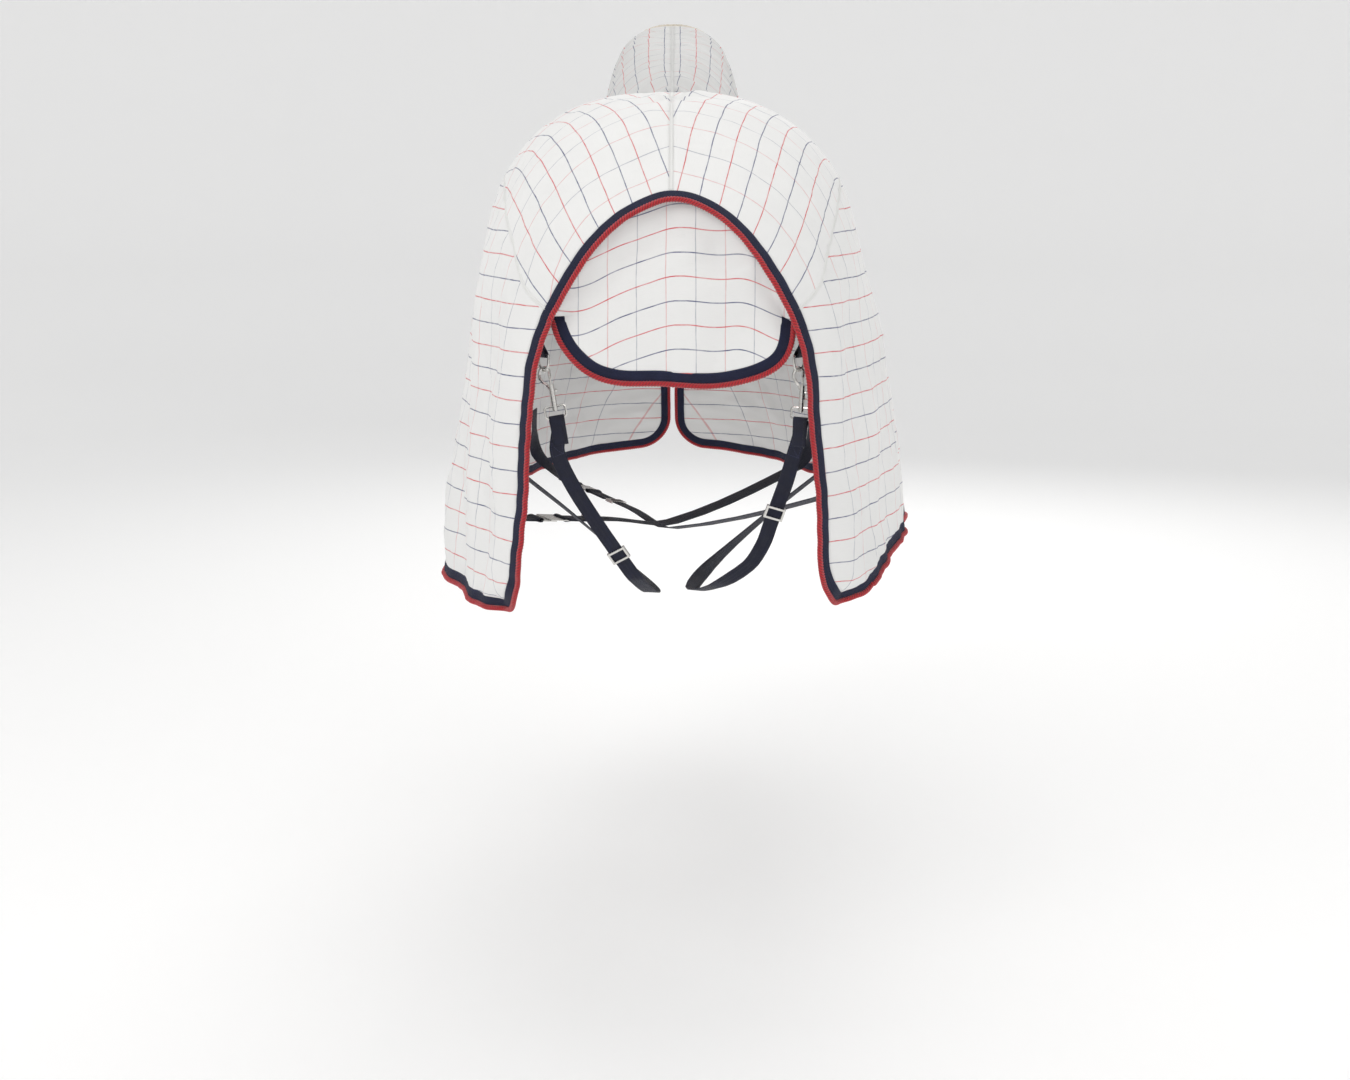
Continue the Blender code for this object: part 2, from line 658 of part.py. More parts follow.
def snap_bolt(word, at):
    """The sliding bolt that closes the hook, with its thumb knob."""
    bolt = cylinder(f"snap_bolt_{word}", STEEL, BOLT_R, 0.0175, HOOK_PATH[-1][1] - GAP, at, 10)
    across = at @ Matrix.Translation((0, 0, 0.0225)) @ Matrix.Rotation(math.pi / 2, 4, "Y")
    stem = cylinder("knob_stem", STEEL, 0.0013, 0.0, 0.0062, across, 8)
    knob = cylinder("knob", STEEL, 0.0024, 0.0052, 0.0080, across, 10)
    return combine(bolt, [stem, knob], "UNION")


def snap_eye(word, at):
    """Square loop for the webbing, turning on the hook's post."""
    half, top = 0.0172, -0.0022
    corner, low = 0.003, -EYE_DROP
    outline = [(-half + corner, top), (0, top), (half - corner, top), (half, top - corner),
               (half, low + corner), (half - corner, low), (-half + corner, low),
               (-half, low + corner), (-half, top - corner)]
    loop = as_mesh(tube(f"snap_eye_{word}", STEEL, in_frame(at, [(x, 0, z) for x, z in outline]),
                        EYE_WIRE_R, 1, True))
    boss = cylinder("eye_boss", STEEL, BARREL_R, -0.0077, 0.0037, at)
    bore = cylinder("eye_bore", STEEL, 0.0021 + RUNNING, -0.02, 0.01, at)
    combine(loop, [boss], "UNION")
    return combine(loop, [bore], "DIFFERENCE")


def slider(name, at, width):
    """Flat three-bar slider: two bars in front of the strap and one behind it."""
    half, long = width / 2 + 0.0035, 0.011
    layer = WEB_THICK / 2 + GAP
    deep = layer + 0.0022
    body = box(name, STEEL, (-half, -deep, -long), (half, deep, long), at)
    way = box("strap_way", STEEL, (-width / 2 - 0.0005, -layer, -0.02),
              (width / 2 + 0.0005, layer, 0.02), at)
    window = box("front_window", STEEL, (-width / 2, -0.01, -long + 0.0035),
                 (width / 2, 0, long - 0.0035), at)
    holes = [box("back_window", STEEL, (-width / 2, 0, low), (width / 2, 0.01, low + 0.0115), at)
             for low in (-0.0135, 0.0020)]
    return combine(body, [way, window] + holes, "DIFFERENCE")


# Where each leg strap goes after its snap, in stable coordinates, and where its slider sits.
LEG_ROUTE = {
    "left": ((-0.185, 0.022, 1.010), (-0.160, 0.038, 0.950), (-0.118, 0.060, 0.878),
             (-0.098, 0.071, 0.846), (-0.078, 0.082, 0.814), (-0.058, 0.094, 0.784),
             (-0.036, 0.150, 0.752), (-0.034, 0.230, 0.744), (-0.075, 0.340, 0.762),
             (-0.180, 0.460, 0.830), (-0.290, 0.550, 0.900), (-0.372, 0.620, 0.955)),
    "right": ((0.200, 0.022, 1.010), (0.188, 0.032, 0.962), (0.176, 0.042, 0.925),
              (0.164, 0.052, 0.888), (0.152, 0.062, 0.851), (0.128, 0.074, 0.812),
              (0.072, 0.100, 0.772), (0.036, 0.190, 0.750), (0.075, 0.330, 0.768),
              (0.180, 0.460, 0.835), (0.290, 0.550, 0.905), (0.374, 0.620, 0.960)),
}
SLIDER_SPAN = {"left": 3, "right": 2}
TAB_PLACE = (0.34, 0.370)   # column and row where each ring tab is sewn
RING_BAR = (0.206, 0.026, 1.168)
HOOK_TURN = {"left": 0.25, "right": -0.5}
RING_TURN = 0.60          # the rings' bars point this far inwards of straight ahead


def leg_strap(word):
    """The D-ring on the panel, the snap hanging in it, and the strap through to the flank."""
    side = SIDES[word]
    sewn = body_point(side, *TAB_PLACE, -CLOTH / 2 - TAB_STAND)
    bar = place((side * RING_BAR[0], *RING_BAR[1:]))
    axis = Vector((side * math.sin(RING_TURN), math.cos(RING_TURN), 0))
    up = sewn - bar
    up -= axis * up.dot(axis)
    ring_tab(word, bar, axis, bar + up)
    ring_at = frame(bar, Vector((0, 0, 1)), axis.cross(Vector((0, 0, 1))))
    d_ring(word, ring_at)
    low = ring_at @ Vector((0, 0, -RING_DROP))
    route = [place(p) for p in LEG_ROUTE[word]]
    first = (low - route[0]).normalized()
    facing = Matrix.Rotation(HOOK_TURN[word], 3, first) @ Vector((1, 0, 0))
    hook_at = frame(low, first, facing)
    seat = hook_at.to_3x3() @ Vector((HOOK_SEAT[0], 0, HOOK_SEAT[1]))
    hook_at.translation = low - seat
    snap_hook(word, hook_at)
    snap_bolt(word, hook_at)
    snap_eye(word, hook_at)
    eye_bar = hook_at @ Vector((0, 0, -EYE_DROP))
    run = -hook_at.col[2].to_3d()
    wide = hook_at.col[0].to_3d()
    start = wrap(eye_bar, run, wide.cross(run), EYE_WIRE_R, 0.045)
    path = start + curve_through([start[-1]] + route)[2:]
    across = []
    for i in range(len(path)):
        turn = smoothstep((i - len(start)) / (0.18 * len(path)))
        flat = smoothstep((i - 0.62 * len(path)) / (0.3 * len(path)))
        across.append(wide * (1 - turn) + Vector((1, 0, 0)) * turn * (1 - flat)
                      + Vector((0, 1.0, -0.6)) * flat)
    webbing(f"leg_strap_{word}", path, across, WEB_WIDTH)
    k = SLIDER_SPAN[word]
    along = (route[k + 1] - route[k]).normalized()
    slider_at = frame((route[k] + route[k + 1]) / 2, -along, Vector((1, 0, 0)))
    slider(f"leg_slider_{word}", slider_at, WEB_WIDTH)


# --- chest fastenings ---------------------------------------------------------------------
CHEST_ROWS = {"upper": 0.10, "lower": 0.50}
BUCKLE_WIRE_R = 0.0024
BUCKLE_LONG = 0.034
BUCKLE_LIFT = 0.0150      # height of the buckle's bars above the middle of the cloth
TONGUE_R = 0.0018


def upward(side, u, v):
    """Up the body panel, along its surface."""
    return (body_point(side, u, max(v - 0.04, 0)) - body_point(side, u, v + 0.04)).normalized()


def chest_fastening(word):
    """A strap sewn to the left panel, through a heel-bar buckle held by a tab on the right one."""
    v = CHEST_ROWS[word]
    heel = body_point(1, 10.45, v, BUCKLE_LIFT)
    out = body_normal(1, 10.45, v)
    aside = body_point(1, 10.2, v) - body_point(1, 10.7, v)
    at = frame(heel, out, aside)
    half = GIRTH_WIDTH / 2 + 0.0045
    corners = [(0, -half + 0.003), (0, 0), (0, half - 0.003), (-0.003, half),
               (-BUCKLE_LONG + 0.004, half), (-BUCKLE_LONG, half - 0.004),
               (-BUCKLE_LONG, -half + 0.004), (-BUCKLE_LONG + 0.004, -half), (-0.003, -half)]
    tube(f"chest_buckle_{word}", STEEL, in_frame(at, [(x, y, 0) for x, y in corners]),
         BUCKLE_WIRE_R, 1, True)

    eye = BUCKLE_WIRE_R + RUNNING + TONGUE_R
    tongue = [(-eye * math.cos(a), 0, -eye * math.sin(a)) for a in steps(0.30, 1.5 * math.pi, 9)]
    tongue += [(-0.012, 0, eye), (-0.026, 0, eye), (-BUCKLE_LONG, 0, eye + GAP),
               (-BUCKLE_LONG - 0.006, 0, eye - 0.0006)]
    tube(f"chest_tongue_{word}", STEEL, in_frame(at, tongue), TONGUE_R, 1)

    layer = WEB_THICK + GAP
    reach = BUCKLE_WIRE_R + GAP + WEB_THICK / 2
    fold = [(0.022, -layer), (0.012, -layer), (0.006, -0.95 * reach)]
    fold += [(-reach * math.sin(a), -reach * math.cos(a)) for a in steps(0, math.pi, 8)]
    fold += [(0.008, 0.75 * reach), (0.016, 0.0), (0.026, -0.0005), (0.044, -0.0045)]
    path = in_frame(at, [(x, 0, z) for x, z in fold])
    upright = at.col[1].to_3d()
    across = [upright] * len(path) + [upward(1, 9.85, v), upward(1, 9.65, v)]
    path += [body_point(1, 9.85, v, 0.0040), body_point(1, 9.65, v, 0.0032)]
    tab = webbing(f"chest_tab_{word}", path, across, GIRTH_WIDTH)
    slot = box("tongue_slot", STEEL, (-0.010, -0.0035, -0.009), (0.009, 0.0035, 0.009), at)
    combine(tab, [slot], "DIFFERENCE")

    lifts = ((9.6, 0.0031), (10.0, 0.0031), (10.35, 0.0040), (10.7, 0.0090), (CHEST, 0.0145))
    start = [body_point(-1, u, v, lift) for u, lift in lifts]
    across = [upward(-1, u, v) for u, _ in lifts]
    middle = (body_point(-1, CHEST, v, 0.0155) + body_point(1, CHEST, v, 0.0155)) / 2
    middle += Vector((0, 0.006, 0))
    under = -(BUCKLE_WIRE_R + GAP + WEB_THICK / 2)
    over = [(-0.050, under), (-0.040, under), (-0.027, under), (-0.0195, under + 0.0004),
            (-0.0135, 0.0002), (-0.007, 0.0062), (0.0, 0.0082), (0.012, 0.0072),
            (0.026, 0.0036), (0.044, -0.0010), (0.060, -0.0048)]
    path = curve_through(start + [middle, at @ Vector((-0.060, 0, under))], 3)
    across = spread(across + [Vector((0, across[-1].y, across[-1].z)), upright], 3)
    path += in_frame(at, [(x, 0, z) for x, z in over])
    across += [upright] * len(over)
    strap = webbing(f"chest_strap_{word}", path, across, GIRTH_WIDTH)
    hole = box("tongue_hole", STEEL, (-0.0215, -0.0026, 0.0014), (0.0020, 0.0026, 0.0076), at)
    combine(strap, [hole], "DIFFERENCE")


# --- throat tabs --------------------------------------------------------------------------
THROAT_TABS = {"low": 0.20, "middle": 0.50, "high": 0.80}
THROAT_TAB_WIDTH = 0.040


def throat_tab(word):
    """Hook-and-loop tab from the left edge of the neck cover over to the right one."""
    q = THROAT_TABS[word]
    lifts = ((10.35, 0.0029), (10.7, 0.0064), (CHEST, 0.0125))
    left = [neck_point(-1, u, q, lift) for u, lift in lifts]
    right = [neck_point(1, u, q, lift) for u, lift in reversed(lifts)]
    middle = (left[-1] + right[0]) / 2 + Vector((0, 0.005, -0.007))
    path = left + [Vector((0, middle.y, middle.z))] + right
    along = neck_point(1, CHEST, q + 0.05) - neck_point(1, CHEST, q - 0.05)
    along.x = 0
    webbing(f"throat_tab_{word}", path, [along.normalized()] * len(path), THROAT_TAB_WIDTH)


# --- belly surcingles ---------------------------------------------------------------------
# Each crosses from one side's front to the other side's rear: its columns on the left and
# right panels, and how low it hangs under the belly.
GIRTHS = {"front": (7.4, 4.5, 0.700), "rear": (4.5, 7.4, 0.715)}
PLATE_HALF = 0.026


def girth_end(side, u):
    """Sewn inside the panel above the hem, then leaving it downwards."""
    points = [body_point(side, u, v, -lift) for v, lift in ((0.80, 0.0096), (0.87, 0.0140),
                                                            (0.94, 0.0230))]
    down = (points[-1] - points[-2]).normalized()
    return points + [points[-1] + down * 0.040 + Vector((-side * 0.030, 0, 0))]


def sewn_across(side, u):
    """The strap's width direction where it lies on the panel, at its last two points."""
    return [(body_point(side, u + 0.1, v) - body_point(side, u - 0.1, v)).normalized()
            for v in (0.87, 0.80)]


def girth(word):
    """Long strap on the right, short one on the left, joined by a hook in a slotted plate."""
    left_u, right_u, low = GIRTHS[word]
    left, right = girth_end(-1, left_u), girth_end(1, right_u)
    middle = place((0, 0, low))
    middle.y = (left[-1].y + right[-1].y) / 2
    turn = left[-1] + (middle - left[-1]) * 0.12 + Vector((0, 0, -0.010))
    towards = (middle - turn).normalized()
    at = frame(turn + towards * 0.075, -towards, Vector((0, 1, 0)))
    wide = at.col[0].to_3d()
    steel = PLATE_THICK / 2

    plate = box(f"girth_plate_{word}", STEEL, (-PLATE_HALF, -steel, 0), (PLATE_HALF, steel, 0.036),
                at)
    slots = [box("web_slot", STEEL, (-0.0205, -0.01, 0.0270), (0.0205, 0.01, 0.0315), at),
             box("hook_slot", STEEL, (-0.0130, -0.01, 0.0080), (0.0130, 0.01, 0.0125), at)]
    combine(plate, slots, "DIFFERENCE")

    back = -steel - GAP - PLATE_THICK
    hook = box(f"girth_hook_{word}", STEEL, (-PLATE_HALF, back, -0.030),
               (PLATE_HALF, back + PLATE_THICK, 0.016), at)
    neck = box("hook_neck", STEEL, (-0.0095, back + 0.0002, 0.0084), (0.0095, 0.0026, 0.0106), at)
    lip = box("hook_lip", STEEL, (-0.0100, steel + GAP, 0.0005), (0.0100, 0.0030, 0.0108), at)
    combine(hook, [neck, lip], "UNION")
    slot = box("web_slot", STEEL, (-0.0205, -0.01, -0.0255), (0.0205, 0.01, -0.0210), at)
    combine(hook, [slot], "DIFFERENCE")

    outer = at.col[1].to_3d()
    bar = at @ Vector((0, 0, 0.03375))
    path = wrap(bar, -towards, -outer, 0.0027, 0.040)
    path += curve_through([path[-1], turn] + list(reversed(left)), 4)[1:]
    across = [wide] * (len(path) - 12) + spread([wide] * 2 + sewn_across(-1, left_u), 4)
    webbing(f"girth_short_{word}", path, across[-len(path):], GIRTH_WIDTH)

    bar = at @ Vector((0, back + steel, -0.02775))
    path = wrap(bar, towards, -outer, 0.0027, 0.060)
    straight = [path[-1] + towards * d for d in (0.040, 0.080, 0.120)]
    path += curve_through([path[-1]] + straight + [middle] + list(reversed(right)), 5)[1:]
    across = [wide] * (len(path) - 15) + spread([wide] * 2 + sewn_across(1, right_u), 5)
    webbing(f"girth_long_{word}", path, across[-len(path):], GIRTH_WIDTH)
    slider_at = frame((straight[0] + straight[1]) / 2, -towards, wide)
    slider(f"girth_slider_{word}", slider_at, GIRTH_WIDTH)


# --- the whole sheet ----------------------------------------------------------------------
for word in SIDES:
    body_panel(word)
    neck_panel(word)
    hem_trim(word)
    leg_strap(word)
arch_frames = arch_trim()
neck_trim()
tail_gusset(arch_frames)
tail_flap()
wither_pad()
poll_fleece()
for word in CHEST_ROWS:
    chest_fastening(word)
for word in THROAT_TABS:
    throat_tab(word)
for word in GIRTHS:
    girth(word)
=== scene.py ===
"""A white check fly sheet as it hangs on a standing horse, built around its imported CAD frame.

Metres, in the row frame: +Y towards the horse's head, +X to the horse's right, +Z up. The sheet's
shape is written in stable coordinates, heights above the floor and distances forward from the
rump, and place() moves them to the row frame.
"""

import math

import bpy
import numpy as np
from mathutils import Matrix, Vector


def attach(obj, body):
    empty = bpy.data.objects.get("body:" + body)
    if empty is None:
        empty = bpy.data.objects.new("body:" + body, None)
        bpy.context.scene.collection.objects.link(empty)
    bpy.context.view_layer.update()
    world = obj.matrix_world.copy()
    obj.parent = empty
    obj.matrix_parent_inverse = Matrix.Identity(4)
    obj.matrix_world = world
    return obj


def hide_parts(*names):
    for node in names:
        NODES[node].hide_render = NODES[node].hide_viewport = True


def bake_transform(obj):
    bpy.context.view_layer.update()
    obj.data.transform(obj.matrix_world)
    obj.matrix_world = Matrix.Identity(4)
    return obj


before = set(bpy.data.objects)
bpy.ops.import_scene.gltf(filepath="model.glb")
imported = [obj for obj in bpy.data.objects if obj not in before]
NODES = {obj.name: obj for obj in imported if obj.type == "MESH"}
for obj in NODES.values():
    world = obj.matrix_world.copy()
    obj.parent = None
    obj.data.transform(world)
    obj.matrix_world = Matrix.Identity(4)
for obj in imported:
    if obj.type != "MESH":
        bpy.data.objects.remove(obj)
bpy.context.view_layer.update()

# --- dimensions shared with the CAD part --------------------------------------------------
ORIGIN = np.array((0.0, 1.19, 1.5994))
CLOTH = 0.0020
GAP = 0.0003
EDGE_GAP = 0.0006
BINDING_WIDTH = 0.015
ROPE_R = 0.0040
ROPE_LIFT = 0.0020
WEB_WIDTH = 0.025
WEB_THICK = 0.0018
GIRTH_WIDTH = 0.038
RING_WIRE_R = 0.0022
EYE_WIRE_R = 0.0021
EYE_DROP = 0.021
RING_DROP = 0.026
PLATE_THICK = 0.0018
BODY_COLUMNS = (
    ((0.000, 0.000, 1.370), (0.262, 0.000, 1.130), (0.292, 0.000, 0.760), 1.0),
    ((0.000, 0.100, 1.465), (0.286, 0.100, 1.235), (0.318, 0.100, 0.757), 1.0),
    ((0.000, 0.220, 1.555), (0.318, 0.220, 1.310), (0.365, 0.220, 0.760), 1.0),
    ((0.000, 0.380, 1.600), (0.332, 0.380, 1.340), (0.408, 0.380, 0.765), 1.0),
    ((0.000, 0.620, 1.580), (0.338, 0.620, 1.280), (0.415, 0.620, 0.770), 1.0),
    ((0.000, 0.900, 1.545), (0.345, 0.900, 1.200), (0.405, 0.900, 0.775), 1.0),
    ((0.000, 1.120, 1.585), (0.330, 1.120, 1.170), (0.385, 1.130, 0.780), 1.0),
    ((0.000, 1.270, 1.635), (0.305, 1.290, 1.150), (0.360, 1.320, 0.785), 0.9),
    ((0.115, 1.375, 1.540), (0.290, 1.430, 1.120), (0.320, 1.480, 0.790), 0.4),
    ((0.185, 1.470, 1.400), (0.235, 1.545, 1.070), (0.250, 1.600, 0.800), 0.1),
    ((0.155, 1.580, 1.260), (0.145, 1.625, 1.030), (0.145, 1.680, 0.810), 0.0),
    ((0.027, 1.650, 1.190), (0.027, 1.672, 1.020), (0.027, 1.715, 0.820), 0.0),
)
RIGHT_HEM_RISE = (0.0, 0.030, 0.062, 0.080, 0.070, 0.040, 0.015, 0.0, 0.0, 0.0, 0.0, 0.0)
RIGHT_HEM_FLARE = (0.0, 0.005, 0.012, 0.022, 0.020, 0.010, 0.0, 0.0, 0.0, 0.0, 0.0, 0.0)
WITHERS = 7
CHEST = 11
SIDE_ROW = 0.44
ARCH_ROW = {-1: 0.330, 1: 0.350}
ARCH_CUT = 0.60
ARCH_ROUND = 0.12
HEM_CORNER_ROW = 0.88
HEM_CORNER_CUT = 0.70
CHEST_CORNER_CUT = 0.45
CHEST_CORNER_START = 9.2  # column from which the front corner's cut grows
CURL = 0.028
CURL_REACH = 0.6
NECK_MIDDLE = ((0.0, 1.600, 1.775), (0.0, 1.810, 1.330), 0.168)
NECK_POLL = ((0.0, 1.950, 1.845), (0.0, 2.030, 1.530), 0.138)
NECK_SQUARENESS = 2.4
NECK_SWEEP = 0.955
FOLD_Z = 1.232
FOLD_Y = 0.010
FLAP_BOTTOM_Z = 1.141
FLAP_HALF = 0.171         # the flap's corners, either side of its middle
FLAP_SQUARENESS = 3.2
FLAP_BACK = 0.012
FLAP_CENTRE = 0.016
SIDES = {"left": -1, "right": 1}

# --- finish of the visible cloth ----------------------------------------------------------
FABRIC = 0.0010           # thickness of the visible cloth
STRONG_SPACING = 0.0385   # between the check's head-to-tail lines
FAINT_SPACING = 0.047     # between its cross lines
RUMP_TURN = {-1: 0.34, 1: 0.21}   # how far the check leans towards the spine over the rump
RUMP_FRONT = 0.46         # it starts to lean this far forward of the tail
LEVEL = 1.20              # height the check's level lines are measured from
FIRST_LINE = {-1: 0.0285, 1: -0.020}   # where the check starts at the spine above the tail
DART_ROW = 0.315          # row of the hip dart where it meets the tail arch
DART_TIP = 3.0            # column where the check above the dart meets the one below
CORNER_ROW = 0.955        # the cloth's direction here serves down to the hem, round its corners
BRAID_THICK = 0.0030
BRAID_OVERLAP = 0.0022    # the braid folds over the cloth's edge by this much
CORD_PITCH = 0.0150       # length in which a strand of the cord goes once round
CORD_STRANDS = 3
STRONG_WIDTH = 0.0019     # of the check's lines
FAINT_WIDTH = 0.0015
TAPE_LIFT = FABRIC / 2 + 0.0001
SWAG_DEPTH = 0.0085       # of the long folds that hang down the sides
SWAG_SPACING = 0.235
PLEAT_DEPTH = 0.010       # of the tuck over the croup
PAD_CLEARANCE = 0.0022    # the cloth sinks no further than this over the wither pad
GATHER_DEPTH = 0.0046     # of the neck cover's gathers
GATHER_SPACING = 0.088    # as a share of the neck's length
FLAP_CORNER_OUT = 0.015   # how far the flap's left corner leans out to the arch
FLAP_CORNER_IN = 0.0108   # how far its right corner is drawn in, so that the flap can lift
FLAP_WAVE = 0.0050
CHECK_DIP = {-1: 0.052, 1: 0.026}   # how far the flap's check drops at its left and right edge


# --- small maths --------------------------------------------------------------------------
def monotone(values, u):
    """A smooth curve through evenly spaced values that never overshoots them."""
    values = np.asarray(values, float)
    rise = np.diff(values)
    slope = np.zeros(len(values))
    slope[0], slope[-1] = rise[0], rise[-1]
    before, after = rise[:-1], rise[1:]
    same = before * after > 0
    total = np.where(same, before + after, 1.0)
    slope[1:-1] = np.where(same, 2 * before * after / total, 0.0)
    i = np.clip(np.floor(u).astype(int), 0, len(values) - 2)
    t = u - i
    return ((2 * t**3 - 3 * t**2 + 1) * values[i] + (t**3 - 2 * t**2 + t) * slope[i]
            + (3 * t**2 - 2 * t**3) * values[i + 1] + (t**3 - t**2) * slope[i + 1])


def bezier(a, b, c, d, t):
    s = 1 - t
    return a * s**3 + b * (3 * s * s * t) + c * (3 * s * t * t) + d * t**3


def smoothstep(x):
    x = np.clip(x, 0.0, 1.0)
    return x * x * (3 - 2 * x)


def unit(a):
    return a / np.maximum(np.linalg.norm(a, axis=-1, keepdims=True), 1e-12)


def place(p):
    return np.asarray(p, float) - ORIGIN


def vector(*values):
    return np.array(values, float)


def ripples(a, b, size, seed, count=7):
    """Soft random waves about size metres long over two coordinates, between about -1 and 1."""
    draw = np.random.default_rng(seed)
    total = np.zeros(np.broadcast(a, b).shape)
    for _ in range(count):
        angle = draw.uniform(0, math.pi)
        wave = size * draw.uniform(0.6, 1.7)
        phase = draw.uniform(0, 2 * math.pi)
        total += np.sin(2 * math.pi * (a * math.cos(angle) + b * math.sin(angle)) / wave + phase)
    return total / math.sqrt(count)


# --- the body's shape ---------------------------------------------------------------------
def column(side, u):
    """Top, side and hem points of the body at column u, in stable coordinates."""
    points = []
    for k in range(3):
        axes = [monotone([c[k][axis] for c in BODY_COLUMNS], u) for axis in range(3)]
        points.append(np.stack(axes, -1))
    points[2][..., 2] += monotone(RIGHT_HEM_RISE, u) if side > 0 else 0.0
    points[2][..., 0] += monotone(RIGHT_HEM_FLARE, u) if side > 0 else 0.0
    return points


def body_shape(side, u, v):
    """Middle of the cloth at column u and row v, in stable coordinates."""
    top, flank, hem = column(side, u)
    crown = monotone([c[3] for c in BODY_COLUMNS], u)[..., None]
    across, drop = flank - top, (top - flank)[..., 2:3]
    near, far = 0.25 + 0.36 * crown, 0.70 + 0.21 * crown
    first = np.concatenate((top[..., :2] + near * across[..., :2],
                            top[..., 2:3] + 0.005 * crown - 0.30 * drop * (1 - crown)), -1)
    second = np.concatenate((top[..., :2] + far * across[..., :2],
                             flank[..., 2:3] + drop * (0.30 + 0.315 * crown)), -1)
    row = v[..., None]
    upper = bezier(top, first, second, flank, np.clip(row / SIDE_ROW, 0, 1))
    fall = hem - flank
    lower = bezier(flank, flank + fall * 0.25, flank + fall * vector(0.81, 0.70, 0.60), hem,
                   np.clip((row - SIDE_ROW) / (1 - SIDE_ROW), 0, 1))
    return np.where(row <= SIDE_ROW, upper, lower) * vector(side, 1, 1)


def round_off(v, start):
    reach = np.clip((v - start) / (1 - start), 0, 1)
    return 1 - np.sqrt(1 - reach**2)


def cut_column(side, u, v):
    reach = np.minimum(1.0, np.hypot(v / (0.8 * ARCH_ROW[side]), ARCH_ROUND) - ARCH_ROUND)
    arch = ARCH_CUT * (1 - reach) ** 2
    rear = arch + HEM_CORNER_CUT * round_off(v, HEM_CORNER_ROW)
    front = CHEST_CORNER_CUT * round_off(v, HEM_CORNER_ROW)
    return (u + rear * np.maximum(0.0, 1 - u / 2)
            - front * np.maximum(0.0, (u - CHEST_CORNER_START) / (CHEST - CHEST_CORNER_START)))


def smooth_point(side, u, v):
    p = body_shape(side, cut_column(side, u, v), v) - ORIGIN
    p[..., 0] -= side * CURL * np.maximum(0.0, 1 - u / CURL_REACH) ** 2 * smoothstep(v / 0.3)
    return p


def body_normal(side, u, v):
    u, v = np.broadcast_arrays(np.asarray(u, float), np.asarray(v, float))
    along = (smooth_point(side, np.minimum(u + 0.02, CHEST), v)
             - smooth_point(side, np.maximum(u - 0.02, 0), v))
    down = (smooth_point(side, u, np.minimum(v + 0.004, 1))
            - smooth_point(side, u, np.maximum(v - 0.004, 0)))
    return unit(np.cross(along, down) * -side)


def folds(side, p, v):
    """How far the cloth's drape stands off its smooth shape at rows v."""
    y = p[..., 1] + ORIGIN[1]
    x = np.abs(p[..., 0])
    z = p[..., 2] + ORIGIN[2]
    hang = smoothstep((v - 0.34) / 0.5)
    seed = 3 if side < 0 else 8
    lean = y + 0.20 * (1.3 - z)
    sway = 2.2 * np.sin(2 * math.pi * y / 0.83 + side)
    drape = 0.55 * np.sin(2 * math.pi * lean / SWAG_SPACING + sway)
    drape += 0.45 * ripples(lean, z * 0.22, 0.16, seed)
    chest = 1 - 0.75 * smoothstep((y - 1.35) / 0.15)
    total = SWAG_DEPTH * hang * drape * chest
    away = smoothstep(x / 0.05)
    total += 0.0030 * ripples(y, x + z, 0.17, seed + 1) * away * chest
    total += 0.0017 * ripples(lean, z * 0.45, 0.060, seed + 2, 9) * away * (0.45 + 0.55 * hang)
    total += 0.0008 * ripples(lean + 0.4 * z, z, 0.030, seed + 3, 9) * away
    radial = np.hypot(x * 1.1, y - 0.34)
    pleat = np.exp(-(x / 0.016) ** 2) * np.exp(-((y - 0.345) / 0.050) ** 2)
    total -= PLEAT_DEPTH * pleat
    total += 0.0042 * np.exp(-(radial / 0.095) ** 2) * np.cos(7 * np.arctan2(x, y - 0.30 + 1e-6))
    over_pad = smoothstep((y - 0.78) / 0.10) * smoothstep((0.32 - v) / 0.08)
    return total + over_pad * (np.maximum(total, -PAD_CLEARANCE) - total)


def body_point(side, u, v, lift=0.0):
    """A point of the draped cloth, lift metres outside its middle."""
    u, v = np.broadcast_arrays(np.asarray(u, float), np.asarray(v, float))
    p = smooth_point(side, u, v)
    off = folds(side, p, v) + lift
    return p + body_normal(side, u, v) * off[..., None]


# --- the neck's shape ---------------------------------------------------------------------
def neck_ring(section, p):
    angle = math.pi * NECK_SWEEP * p
    power = 2 / NECK_SQUARENESS
    across = np.sin(angle) ** power
    along = (np.sign(np.cos(angle)) * np.abs(np.cos(angle)) ** power)[..., None]
    crest, throat = vector(*section[0]), vector(*section[1])
    point = (crest + throat) / 2 + (crest - throat) / 2 * along
    point[..., 0] = section[2] * across
    return point


def smooth_neck(side, u, q):
    p = (u - WITHERS) / (CHEST - WITHERS)
    base = column(1, u)[0]
    middle, poll = neck_ring(NECK_MIDDLE, p), neck_ring(NECK_POLL, p)
    q = q[..., None]
    point = base * (1 - q) * (1 - 2 * q) + middle * 4 * q * (1 - q) + poll * q * (2 * q - 1)
    point[..., 0] = side * np.maximum(point[..., 0], 0.0)
    return point - ORIGIN


def neck_normal(side, u, q):
    u, q = np.broadcast_arrays(np.asarray(u, float), np.asarray(q, float))
    along = (smooth_neck(side, u, np.minimum(q + 0.01, 1))
             - smooth_neck(side, u, np.maximum(q - 0.01, 0)))
    around = (smooth_neck(side, np.minimum(u + 0.05, CHEST), q)
              - smooth_neck(side, np.maximum(u - 0.05, WITHERS), q))
    return unit(np.cross(along, around) * -side)


